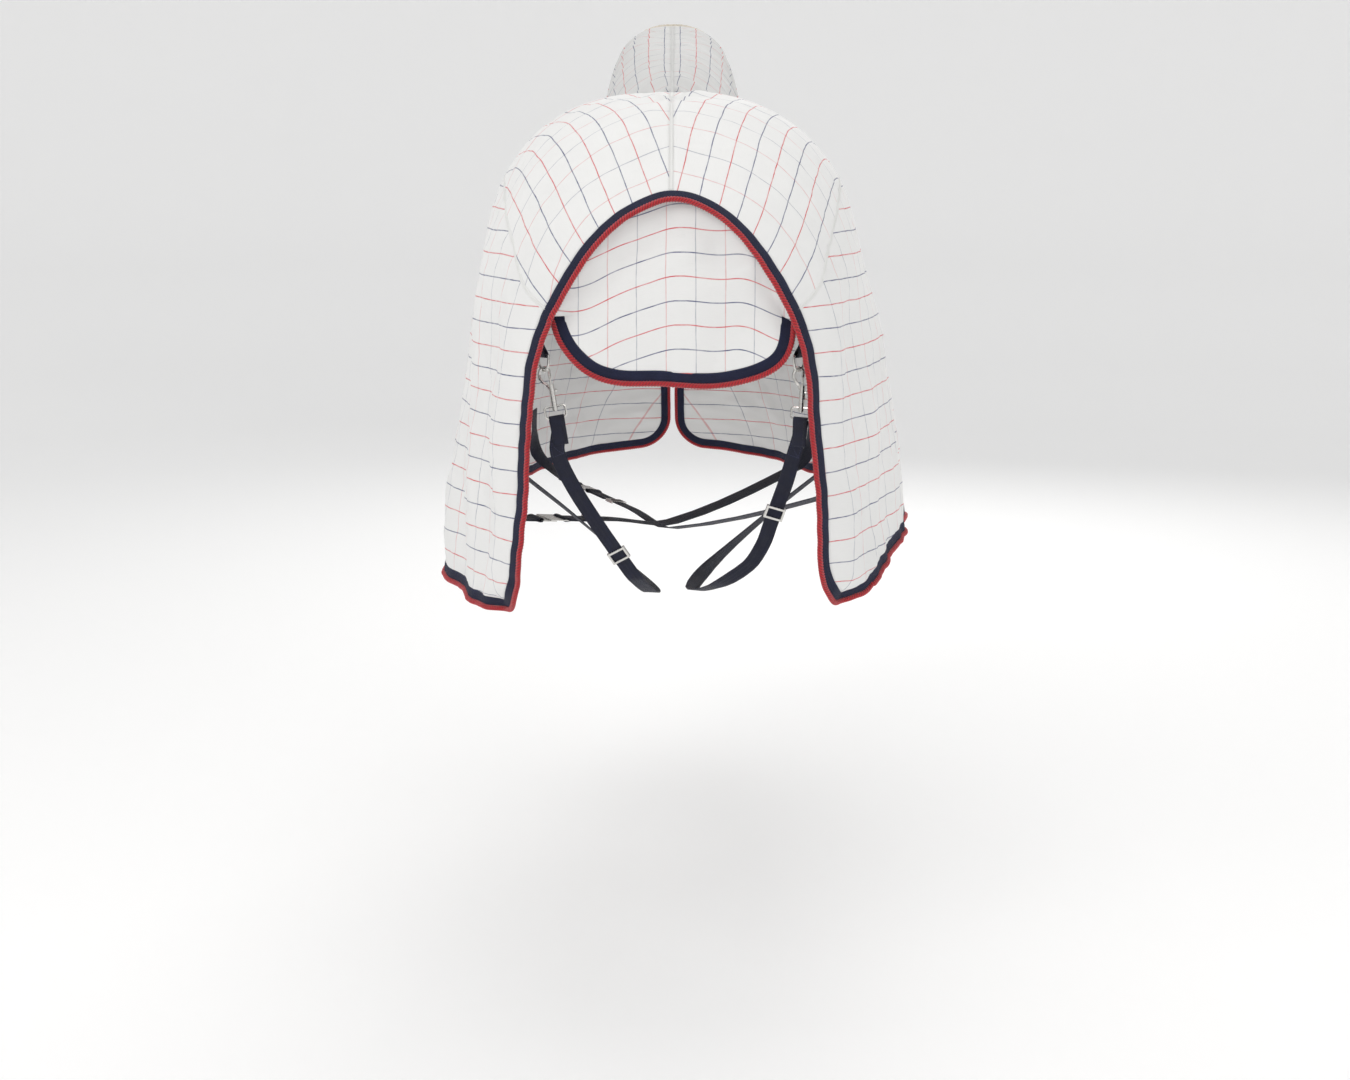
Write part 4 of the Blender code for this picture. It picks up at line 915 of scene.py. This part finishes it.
def poll_edge(points, normals):
    """The fleece that edges the neck cover behind the ears, and its rolled lip."""
    centres, up, _ = resample(points, 0.0022, normals)
    up = unit(up)
    out = -unit(np.cross(unit(np.gradient(centres, axis=0)), up))
    middle = centres + out * (EDGE_GAP + BINDING_WIDTH / 2 - 0.001)
    half = (BINDING_WIDTH / 2 + 0.0016, 0.0026)
    pile_roll("poll_edging", middle, out, up, half, "poll_binding", 64)
    lip = centres + out * (EDGE_GAP + BINDING_WIDTH + ROPE_R) + up * ROPE_LIFT
    pile_roll("poll_lip", lip, out, up, (0.0052, 0.0050), "poll_rope", 65)


def neck_trim():
    u = neck_columns()
    left, right = neck_point(-1, u[::-1], 1 + 0 * u), neck_point(1, u[1:], 1 + 0 * u[1:])
    points = np.concatenate((left, right))
    normals = np.concatenate((neck_normal(-1, u[::-1], 1 + 0 * u),
                              neck_normal(1, u[1:], 1 + 0 * u[1:])))
    poll_edge(points, normals)
    for word, side in SIDES.items():
        q = np.linspace(0.03, 0.99, 60)
        points, normals = neck_point(side, CHEST + 0 * q, q), neck_normal(side, CHEST + 0 * q, q)
        trim(f"throat_{word}", points, normals, side, "sheet",
             (f"throat_{word}_binding", f"throat_{word}_rope"))


# --- tail flap ----------------------------------------------------------------------------
def flap_floor(x):
    """Height of the flap's lower edge, level in the middle and rounded up to its corners."""
    share = np.clip(np.abs(x) / FLAP_HALF, 0, 1) ** FLAP_SQUARENESS
    return FLAP_BOTTOM_Z + (FOLD_Z - FLAP_BOTTOM_Z) * (1 - (1 - share) ** (1 / FLAP_SQUARENESS))


def flap_drape(x, z):
    """How far the tail flap's waves stand out behind its smooth shape."""
    low = smoothstep((FOLD_Z + 0.10 - z) / 0.18)
    waves = FLAP_WAVE * np.sin(2 * math.pi * (x + 0.035) / 0.150) * low
    return waves + 0.0016 * ripples(x, z * 0.4, 0.08, 41) * low


def flap_reach(count, end=0.985):
    angle = np.linspace(-1, 1, count) * math.pi / 2 * end
    return FLAP_HALF * np.sign(angle) * np.abs(np.sin(angle)) ** (2 / FLAP_SQUARENESS)


def flap_point(x, t):
    z = FOLD_Z + (flap_floor(x) - FOLD_Z) * t
    z = z - 0.0022 * np.sin(2 * math.pi * (x - 0.01) / 0.16) * t
    y = FOLD_Y - FLAP_BACK * (FOLD_Z - z) / (FOLD_Z - FLAP_BOTTOM_Z)
    corner = np.clip(-x / FLAP_HALF, 0, 1) ** 4 * smoothstep((z - 1.160) / (FOLD_Z - 1.160))
    inward = np.clip(x / FLAP_HALF, 0, 1) ** 4
    across = x + FLAP_CENTRE - FLAP_CORNER_OUT * corner - FLAP_CORNER_IN * inward
    p = np.stack((across, y, z), -1) - ORIGIN
    p[..., 1] -= flap_drape(x, z)
    return p


def tail_cloth():
    """One cloth from under the arch's braid, over the fold and down to the flap's lower edge."""
    arch, normals = arch_line()
    along = unit(np.gradient(arch, axis=0))
    out = unit(np.cross(along, normals))
    under = ROPE_R - ROPE_LIFT + GAP + CLOTH / 2
    top, _ = resample(arch[1:-1] + (out * BINDING_WIDTH * 0.42 - normals * under)[1:-1], 0.0045)
    width = len(top)
    reach = flap_reach(width)
    fold = flap_point(reach, 0 * reach)
    lengths = np.linspace(0, 1, 34)[:, None, None]
    lean = smoothstep(lengths)
    upper = np.concatenate((top[None, :, :1] + (fold - top)[None, :, :1] * lengths,
                            top[None, :, 1:2] + (fold - top)[None, :, 1:2] * lean,
                            top[None, :, 2:] + (fold - top)[None, :, 2:] * lengths), -1)
    sag = ripples(upper[..., 0], upper[..., 2], 0.10, 43)
    upper[..., 1] -= 0.004 * np.sin(math.pi * lengths[..., 0]) * sag
    lower = np.stack([flap_point(reach, np.full(width, t)) for t in np.linspace(0, 1, 22)[1:]])
    p = np.concatenate((upper, lower))
    normals = unit(np.cross(np.gradient(p, axis=0), np.gradient(p, axis=1)))
    normals = np.where(normals[..., 1:2] > 0, -normals, normals)
    x = p[..., 0] - FLAP_CENTRE
    z = p[..., 2] + ORIGIN[2]
    drop = (1.3655 - z) * 1.015 - CHECK_DIP[-1] * smoothstep((-x - 0.01) / 0.17)
    drop = drop - CHECK_DIP[1] * smoothstep((x - 0.08) / 0.10)
    drop = drop - 0.0020 * np.sin(2 * math.pi * (x - 0.03) / 0.11)
    layers = {"level": np.stack((drop + 0.002, x + FAINT_SPACING / 2), -1)}
    made = cloth("tail_flap_cloth", p, normals, FLAP_CLOTH, layers)
    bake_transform(made)
    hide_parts("tail_flap", "tail_gusset")

    line = flap_point(flap_reach(160), np.ones(160))
    # The edging's ends turn forward, behind the cloth at the fold.
    tucks = {-1: ((-0.003, 0.003, 0.006), (-0.006, 0.007, 0.012)),
             1: ((0.002, 0.004, 0.006), (0.003, 0.008, 0.011))}
    left = [line[0] + vector(*tuck) for tuck in reversed(tucks[-1])]
    right = [line[-1] + vector(*tuck) for tuck in tucks[1]]
    line = np.concatenate((left, line, right))
    for _ in range(5):
        line[1:-1] = (line[:-2] + 2 * line[1:-1] + line[2:]) / 4
    normals = np.tile(unit(vector(0, -1, -0.13)), (len(line), 1))
    trim("flap", line, normals, 1, "tail_flap", ("flap_binding", "flap_rope"))
    return made


# --- straps -------------------------------------------------------------------------------
def curve_through(points, per_span=4):
    """A smooth path through points, however unevenly they are spaced."""
    points = [np.asarray(p, float) for p in points]
    last = len(points) - 1
    spans = [float(np.linalg.norm(b - a)) for a, b in zip(points, points[1:])]

    def slope(i):
        a, b = max(i - 1, 0), min(i + 1, last)
        return (points[b] - points[a]) / sum(spans[a:b])

    path = []
    for i, span in enumerate(spans):
        for t in np.linspace(0, 1, per_span + 1)[:-1]:
            path.append(points[i] * (2 * t**3 - 3 * t**2 + 1)
                        + points[i + 1] * (3 * t**2 - 2 * t**3)
                        + slope(i) * span * (t**3 - 2 * t**2 + t)
                        + slope(i + 1) * span * (t**3 - t**2))
    return path + [points[-1]]


def spread(values, per_span):
    out = []
    for a, b in zip(values, values[1:]):
        out += [a * (1 - t) + b * t for t in np.linspace(0, 1, per_span + 1)[:-1]]
    return out + [values[-1]]


def axes(origin, z, x):
    """A local frame: its origin and its X, Y and Z directions as columns."""
    z = unit(z)
    x = unit(x - z * (x @ z))
    return origin, np.stack((x, np.cross(z, x), z), -1)


def in_axes(at, p):
    return at[0] + at[1] @ np.asarray(p, float)


def round_bar(reach):
    """Half a turn of webbing round a bar, by distances along and off it."""
    return [(-reach * math.sin(a), -reach * math.cos(a)) for a in np.linspace(0, math.pi, 9)]


def face_towards(up, normal):
    """The face normals of a strap, turned to the side that a normal at their start points to."""
    return up * (1.0 if up[0] @ normal > 0 else -1.0)


def wrap(bar, run, normal, wire, tail):
    """A path that comes in along a bar's run, goes round the bar and back."""
    reach = wire + GAP + WEB_THICK / 2
    layer = WEB_THICK + GAP
    points = [(tail, -layer), (0.014, -layer), (0.006, -0.95 * reach)]
    points += round_bar(reach)
    points += [(0.007, 0.86 * reach), (0.015, 0.0), (0.024, 0.0)]
    return [bar + run * a + normal * b for a, b in points]


def squared(directions, along):
    """The directions, made square to the path they go with."""
    return unit(directions - along * np.einsum("ij,ij->i", directions, along)[:, None])


def strap(name, path, across, width, body, node):
    """Webbing along a path, its width in the direction across gives at each point."""
    path, across = np.array(path), np.array(across)
    across = squared(across, unit(np.gradient(path, axis=0)))
    dense, wide, at = resample(path, 0.0035, across)
    along = unit(np.gradient(dense, axis=0))
    wide = squared(wide, along)
    up = unit(np.cross(along, wide))
    finish = WIDE_WEB if width > 0.03 else WEB
    made = sweep(name, dense, wide, up, rounded(width, WEB_THICK, 5), finish, at)
    return settle(made, body, "navy_webbing", node), dense, wide, up, at


def box_stitch(name, path, wide, up, at, start, end, width, body):
    """A sewn rectangle with a cross, on the face of a strap between two distances along it."""
    def along(values, distance):
        return np.array([np.interp(distance, at, values[:, i]) for i in range(3)])

    half = width / 2 - 0.0035
    corners = [(start, -half), (end, -half), (end, half), (start, half), (start, -half),
               (end, half)]
    line, normals = [], []
    for (a, b), (c, d) in zip(corners, corners[1:]):
        for t in np.linspace(0, 1, 8):
            run = a + (c - a) * t
            line.append(along(path, run) + along(wide, run) * (b + (d - b) * t))
            normals.append(along(up, run))
    made = stitches(name, np.array(line), np.array(normals), NAVY_THREAD, WEB_THICK / 2, 0.0004,
                    0.0026, 0.0012)
    return settle(made, body, "navy_webbing")


LEG_ROUTE = {
    "left": ((-0.185, 0.022, 1.010), (-0.160, 0.038, 0.950), (-0.118, 0.060, 0.878),
             (-0.098, 0.071, 0.846), (-0.078, 0.082, 0.814), (-0.058, 0.094, 0.784),
             (-0.036, 0.150, 0.752), (-0.034, 0.230, 0.744), (-0.075, 0.340, 0.762),
             (-0.180, 0.460, 0.830), (-0.290, 0.550, 0.900), (-0.372, 0.620, 0.955)),
    "right": ((0.200, 0.022, 1.010), (0.188, 0.032, 0.962), (0.176, 0.042, 0.925),
              (0.164, 0.052, 0.888), (0.152, 0.062, 0.851), (0.128, 0.074, 0.812),
              (0.072, 0.100, 0.772), (0.036, 0.190, 0.750), (0.075, 0.330, 0.768),
              (0.180, 0.460, 0.835), (0.290, 0.550, 0.905), (0.374, 0.620, 0.960)),
}
TAB_PLACE = (0.34, 0.370)
RING_BAR = (0.206, 0.026, 1.168)
RING_TURN = 0.60
HOOK_TURN = {"left": 0.25, "right": -0.5}
HOOK_WIRE_R = 0.0026
HOOK_SEAT = (-0.0080, 0.0620 - HOOK_WIRE_R - RING_WIRE_R - 0.0010)   # where the ring lies


def leg_strap(word):
    side = SIDES[word]
    bar = place((side * RING_BAR[0], *RING_BAR[1:]))
    axis = vector(side * math.sin(RING_TURN), math.cos(RING_TURN), 0)
    u, v = TAB_PLACE
    sewn = body_point(side, u, v, -0.0046)
    up = unit((sewn - bar) - axis * ((sewn - bar) @ axis))
    hold = [body_point(side, u, row, -lift) for row, lift in ((v, 0.0080), (v - 0.02, 0.0060),
                                                              (v - 0.04, 0.0030))]
    path = wrap(bar, up, np.cross(axis, up) * side, RING_WIRE_R, 0.020)
    count = len(path)
    path += curve_through([path[-1]] + hold, 3)[1:]
    level = unit(body_point(side, u + 0.1, v) - body_point(side, u - 0.1, v))
    across = [axis] * count + spread([axis, level, level, level], 3)[1:]
    strap(f"ring_tab_web_{word}", path, across, 0.022, "sheet", f"ring_tab_{word}")

    ring_at = axes(bar, vector(0, 0, 1), np.cross(axis, vector(0, 0, 1)))
    low = in_axes(ring_at, (0, 0, -RING_DROP))
    route = [place(p) for p in LEG_ROUTE[word]]
    first = unit(low - route[0])
    facing = np.array(Matrix.Rotation(HOOK_TURN[word], 3, Vector(first)) @ Vector((1, 0, 0)))
    hook_at = axes(low, first, facing)
    hook_at = (low - hook_at[1] @ vector(HOOK_SEAT[0], 0, HOOK_SEAT[1]), hook_at[1])
    eye_bar = in_axes(hook_at, (0, 0, -EYE_DROP))
    run, wide = -hook_at[1][:, 2], hook_at[1][:, 0]
    start = wrap(eye_bar, run, np.cross(wide, run), EYE_WIRE_R, 0.045)
    path = start + curve_through([start[-1]] + route)[2:]
    across = []
    for i in range(len(path)):
        turn = smoothstep((i - len(start)) / (0.18 * len(path)))
        flat = smoothstep((i - 0.62 * len(path)) / (0.3 * len(path)))
        across.append(wide * (1 - turn) + vector(1, 0, 0) * turn * (1 - flat)
                      + vector(0, 1.0, -0.6) * flat)
    _, dense, across, up, at = strap(f"leg_web_{word}", path, across, WEB_WIDTH, "sheet",
                                     f"leg_strap_{word}")
    for face, way in (("front", 1), ("back", -1)):
        box_stitch(f"leg_stitch_{word}_{face}", dense, across, up * way, at, 0.100, 0.118,
                   WEB_WIDTH, "sheet")


CHEST_ROWS = {"upper": 0.10, "lower": 0.50}
BUCKLE_WIRE_R = 0.0024
BUCKLE_LIFT = 0.0150
BUCKLE_COLUMN = 10.45


def calm_point(side, u, v, lift=0.0):
    """A point outside the CAD panel, where the chest and belly straps run."""
    u, v = np.broadcast_arrays(np.asarray(u, float), np.asarray(v, float))
    return smooth_point(side, u, v) + body_normal(side, u, v) * lift


def upward(side, u, v):
    return unit(calm_point(side, u, max(v - 0.04, 0)) - calm_point(side, u, v + 0.04))


def chest_fastening(word):
    v = CHEST_ROWS[word]
    heel = calm_point(1, BUCKLE_COLUMN, v, BUCKLE_LIFT)
    out = body_normal(1, BUCKLE_COLUMN, v)
    at = axes(heel, out, calm_point(1, BUCKLE_COLUMN - 0.25, v)
              - calm_point(1, BUCKLE_COLUMN + 0.25, v))
    layer = WEB_THICK + GAP
    reach = BUCKLE_WIRE_R + GAP + WEB_THICK / 2
    fold = [(0.022, -layer), (0.012, -layer), (0.006, -0.95 * reach)]
    fold += round_bar(reach)
    fold += [(0.008, 0.75 * reach), (0.016, 0.0), (0.026, -0.0005), (0.044, -0.0045)]
    upright = at[1][:, 1]
    path = [in_axes(at, (x, 0, z)) for x, z in fold]
    across = [upright] * len(path) + [upward(1, 9.85, v), upward(1, 9.65, v)]
    path += [calm_point(1, 9.85, v, 0.0040), calm_point(1, 9.65, v, 0.0032)]
    _, dense, wide, up, run = strap(f"chest_tab_web_{word}", path, across, GIRTH_WIDTH, "sheet",
                                    f"chest_tab_{word}")
    way = 1.0 if up[-1] @ body_normal(1, 9.7, v) > 0 else -1.0
    box_stitch(f"chest_tab_stitch_{word}", dense, wide, up * way, run, run[-1] - 0.040,
               run[-1] - 0.006, GIRTH_WIDTH, "sheet")

    lifts = ((9.6, 0.0031), (10.0, 0.0031), (10.35, 0.0040), (10.7, 0.0090), (CHEST, 0.0145))
    start = [calm_point(-1, u, v, lift) for u, lift in lifts]
    across = [upward(-1, u, v) for u, _ in lifts]
    middle = (calm_point(-1, CHEST, v, 0.0155) + calm_point(1, CHEST, v, 0.0155)) / 2
    middle = middle + vector(0, 0.006, 0)
    under = -(BUCKLE_WIRE_R + GAP + WEB_THICK / 2)
    over = [(-0.050, under), (-0.040, under), (-0.027, under), (-0.0195, under + 0.0004),
            (-0.0135, 0.0002), (-0.007, 0.0062), (0.0, 0.0082), (0.012, 0.0072),
            (0.026, 0.0036), (0.044, -0.0010), (0.060, -0.0048)]
    path = curve_through(start + [middle, in_axes(at, (-0.060, 0, under))], 3)
    across = spread(across + [across[-1] * vector(0, 1, 1), upright], 3)
    path += [in_axes(at, (x, 0, z)) for x, z in over]
    across += [upright] * len(over)
    _, dense, wide, up, run = strap(f"chest_web_{word}", path, across, GIRTH_WIDTH, "sheet",
                                    f"chest_strap_{word}")
    box_stitch(f"chest_stitch_{word}", dense, wide, face_towards(up, body_normal(-1, 9.7, v)), run,
               0.006, 0.044, GIRTH_WIDTH, "sheet")


THROAT_TABS = {"low": 0.20, "middle": 0.50, "high": 0.80}


def calm_neck(side, u, q, lift=0.0):
    u, q = np.broadcast_arrays(np.asarray(u, float), np.asarray(q, float))
    return smooth_neck(side, u, q) + neck_normal(side, u, q) * lift


def throat_tab(word):
    q = THROAT_TABS[word]
    lifts = ((10.35, 0.0029), (10.7, 0.0064), (CHEST, 0.0125))
    left = [calm_neck(-1, u, q, lift) for u, lift in lifts]
    right = [calm_neck(1, u, q, lift) for u, lift in reversed(lifts)]
    middle = (left[-1] + right[0]) / 2 + vector(0, 0.005, -0.007)
    middle[0] = 0.0
    along = calm_neck(1, CHEST, q + 0.05) - calm_neck(1, CHEST, q - 0.05)
    along[0] = 0.0
    path = curve_through(left + [middle] + right, 3)
    _, dense, wide, up, at = strap(f"throat_web_{word}", path, [unit(along)] * len(path), 0.040,
                                   f"throat_tab_{word}", f"throat_tab_{word}")
    box_stitch(f"throat_stitch_{word}", dense, wide, face_towards(up, neck_normal(-1, 10.4, q)), at,
               0.004, 0.022, 0.040, f"throat_tab_{word}")


GIRTHS = {"front": (7.4, 4.5, 0.700), "rear": (4.5, 7.4, 0.715)}


def girth_end(side, u):
    points = [calm_point(side, u, v, -lift) for v, lift in ((0.80, 0.0096), (0.87, 0.0140),
                                                            (0.94, 0.0230))]
    down = unit(points[-1] - points[-2])
    return points + [points[-1] + down * 0.040 + vector(-side * 0.030, 0, 0)]


def girth(word):
    left_u, right_u, low = GIRTHS[word]
    left, right = girth_end(-1, left_u), girth_end(1, right_u)
    middle = place((0, 0, low))
    middle[1] = (left[-1][1] + right[-1][1]) / 2
    turn = left[-1] + (middle - left[-1]) * 0.12 + vector(0, 0, -0.010)
    towards = unit(middle - turn)
    at = axes(turn + towards * 0.075, -towards, vector(0, 1, 0))
    wide, outer = at[1][:, 0], at[1][:, 1]

    def sewn(side, u):
        return [unit(calm_point(side, u + 0.1, v) - calm_point(side, u - 0.1, v))
                for v in (0.87, 0.80)]

    path = wrap(in_axes(at, (0, 0, 0.03375)), -towards, -outer, 0.0027, 0.040)
    path += curve_through([path[-1], turn] + list(reversed(left)), 4)[1:]
    across = [wide] * (len(path) - 12) + spread([wide] * 2 + sewn(-1, left_u), 4)
    strap(f"girth_short_web_{word}", path, across[-len(path):], GIRTH_WIDTH, "sheet",
          f"girth_short_{word}")
    back = -PLATE_THICK / 2 - GAP - PLATE_THICK
    path = wrap(in_axes(at, (0, back + PLATE_THICK / 2, -0.02775)), towards, -outer, 0.0027, 0.060)
    straight = [path[-1] + towards * d for d in (0.040, 0.080, 0.120)]
    path += curve_through([path[-1]] + straight + [middle] + list(reversed(right)), 5)[1:]
    across = [wide] * (len(path) - 15) + spread([wide] * 2 + sewn(1, right_u), 5)
    strap(f"girth_long_web_{word}", path, across[-len(path):], GIRTH_WIDTH, "sheet",
          f"girth_long_{word}")


# --- padding ------------------------------------------------------------------------------
def fleece(name, middle, normals, thickness, node, seed):
    """A pad with a pile: a closed form, thick in the middle and thin at its edges."""
    rows, width = middle.shape[:2]
    i = np.linspace(0, 1, rows)[:, None]
    j = np.linspace(0, 1, width)[None, :]
    edge = smoothstep(np.minimum(i, 1 - i) / 0.16) * smoothstep(np.minimum(j, 1 - j) / 0.05)
    body = 0.30 + 0.70 * np.sqrt(edge)
    tufts = 0.0011 * ripples(middle[..., 0] + 0.3 * middle[..., 2], middle[..., 1], 0.016, seed, 12)
    half = thickness / 2 * body
    made = two_faced(name, middle + normals * (half + tufts * 0.3)[..., None],
                     middle - normals * (half + tufts)[..., None], PILE)
    settle(made, "sheet", "cream_fleece", node)
    return made


def pad(name, rows, columns, surface, normal, start, lift, thickness, node, seed):
    """A pad that crosses the middle line; its columns run from the left side to the right."""
    across, along = np.meshgrid(columns, rows, indexing="xy")
    left = across[..., None] < 0
    spot = start(along, np.abs(across))
    middle = np.where(left, surface(-1, *spot, lift), surface(1, *spot, lift))
    normals = np.where(left, normal(-1, *spot), normal(1, *spot))
    fleece(name, middle, normals, thickness, node, seed)


def mirrored(reach, count):
    return np.concatenate((-np.linspace(reach, 0, count)[:-1], np.linspace(0, reach, count)))


def over_withers(side, u, v, lift):
    point = calm_point(side, u, v, lift)
    point[..., 0] = np.where(v == 0, 0.0, point[..., 0])
    return point


def pads():
    pad("wither_fleece", np.linspace(5.5, 7.0, 60), mirrored(0.165, 50), over_withers, body_normal,
        lambda u, v: (u, v), -0.0090, 0.0095, "wither_pad", 61)
    pad("poll_pile", np.linspace(0.875, 1.0, 34), mirrored(1.5, 44), calm_neck, neck_normal,
        lambda q, w: (WITHERS + w, q), -0.0058, 0.0070, "poll_fleece", 62)


# --- the whole sheet ----------------------------------------------------------------------
body_cloths = {word: body_panel(word) for word in SIDES}
neck_cloths = {word: neck_panel(word) for word in SIDES}
body_seams()
neck_seams()
for word in SIDES:
    hem_trim(word)
    leg_strap(word)
arch_points, arch_normals = arch_line()
trim("arch", arch_points, arch_normals, 1, "sheet", ("arch_binding", "arch_rope"))
neck_trim()
flap_cloth = tail_cloth()
for word in CHEST_ROWS:
    chest_fastening(word)
for word in THROAT_TABS:
    throat_tab(word)
for word in GIRTHS:
    girth(word)
pads()

for name, node in NODES.items():
    if node.hide_render:
        continue
    node.data.materials.clear()
    node.data.materials.append(NICKEL)
    node.data.shade_smooth()
    soften = node.modifiers.new("rounded_edges", "BEVEL")
    soften.width = 0.00030
    soften.segments = 2
    soften.limit_method = "ANGLE"
    soften.angle_limit = math.radians(50)
    soften.harden_normals = True


# --- floor, light and camera --------------------------------------------------------------
def floor():
    """A pale floor that curves up into a backdrop on every side."""
    rings, around = [], 96
    profile = ((0.001, 0), (1.5, 0), (3, 0), (4.5, 0), (6.5, 0), (7.5, 0.06), (8.4, 0.35),
               (9.2, 0.95), (9.6, 1.8), (9.8, 3.0), (9.9, 6.0), (9.9, 9.0))
    for r, h in profile:
        rings.append([(r * math.cos(a), r * math.sin(a) - 0.2, h - ORIGIN[2])
                      for a in np.linspace(0, 2 * math.pi, around, endpoint=False)])
    s = Shader("pale_floor")
    s.finish((0.93, 0.93, 0.93), 0.9, Specular_IOR_Level=0.1,
             Emission_Color=(1.0, 1.0, 1.0), Emission_Strength=0.10)
    faces = grid_faces(len(rings), around, closed=True)
    made = mesh_object("floor", np.array(rings), faces, s.material)


def lamp(name, energy, size, at, towards):
    data = bpy.data.lights.new(name, "AREA")
    data.energy, data.size = energy, size
    data.color = (1.0, 0.99, 0.975)
    made = bpy.data.objects.new(name, data)
    bpy.context.scene.collection.objects.link(made)
    made.location = at
    made.rotation_euler = (Vector(towards) - Vector(at)).to_track_quat("-Z", "Y").to_euler()


floor()
lamp("key", 66, 2.6, (-2.6, -3.8, 2.6), (0, -0.6, -0.6))
lamp("fill", 30, 3.0, (3.2, -3.4, 1.6), (0, -0.6, -0.6))
lamp("top", 38, 3.5, (0.0, 0.2, 3.4), (0, -0.2, -0.4))
lamp("front", 60, 2.5, (1.2, 4.2, 1.8), (0, 0.6, -0.3))
world = bpy.context.scene.world or bpy.data.worlds.new("studio")
bpy.context.scene.world = world
world.use_nodes = True
sky = world.node_tree.nodes.get("Background") or world.node_tree.nodes.new("ShaderNodeBackground")
sky.inputs["Color"].default_value = (1.0, 1.0, 1.0, 1.0)
sky.inputs["Strength"].default_value = 0.52

camera_data = bpy.data.cameras.new("camera")
camera_data.lens = 50.0
camera_data.sensor_width = 36.0
camera = bpy.data.objects.new("camera", camera_data)
bpy.context.scene.collection.objects.link(camera)
camera.location = (0.006, -4.19, -0.179)
camera.rotation_euler = (math.radians(90 - 10.4), 0, 0)
bpy.context.scene.camera = camera
bpy.context.scene.view_settings.view_transform = "Standard"
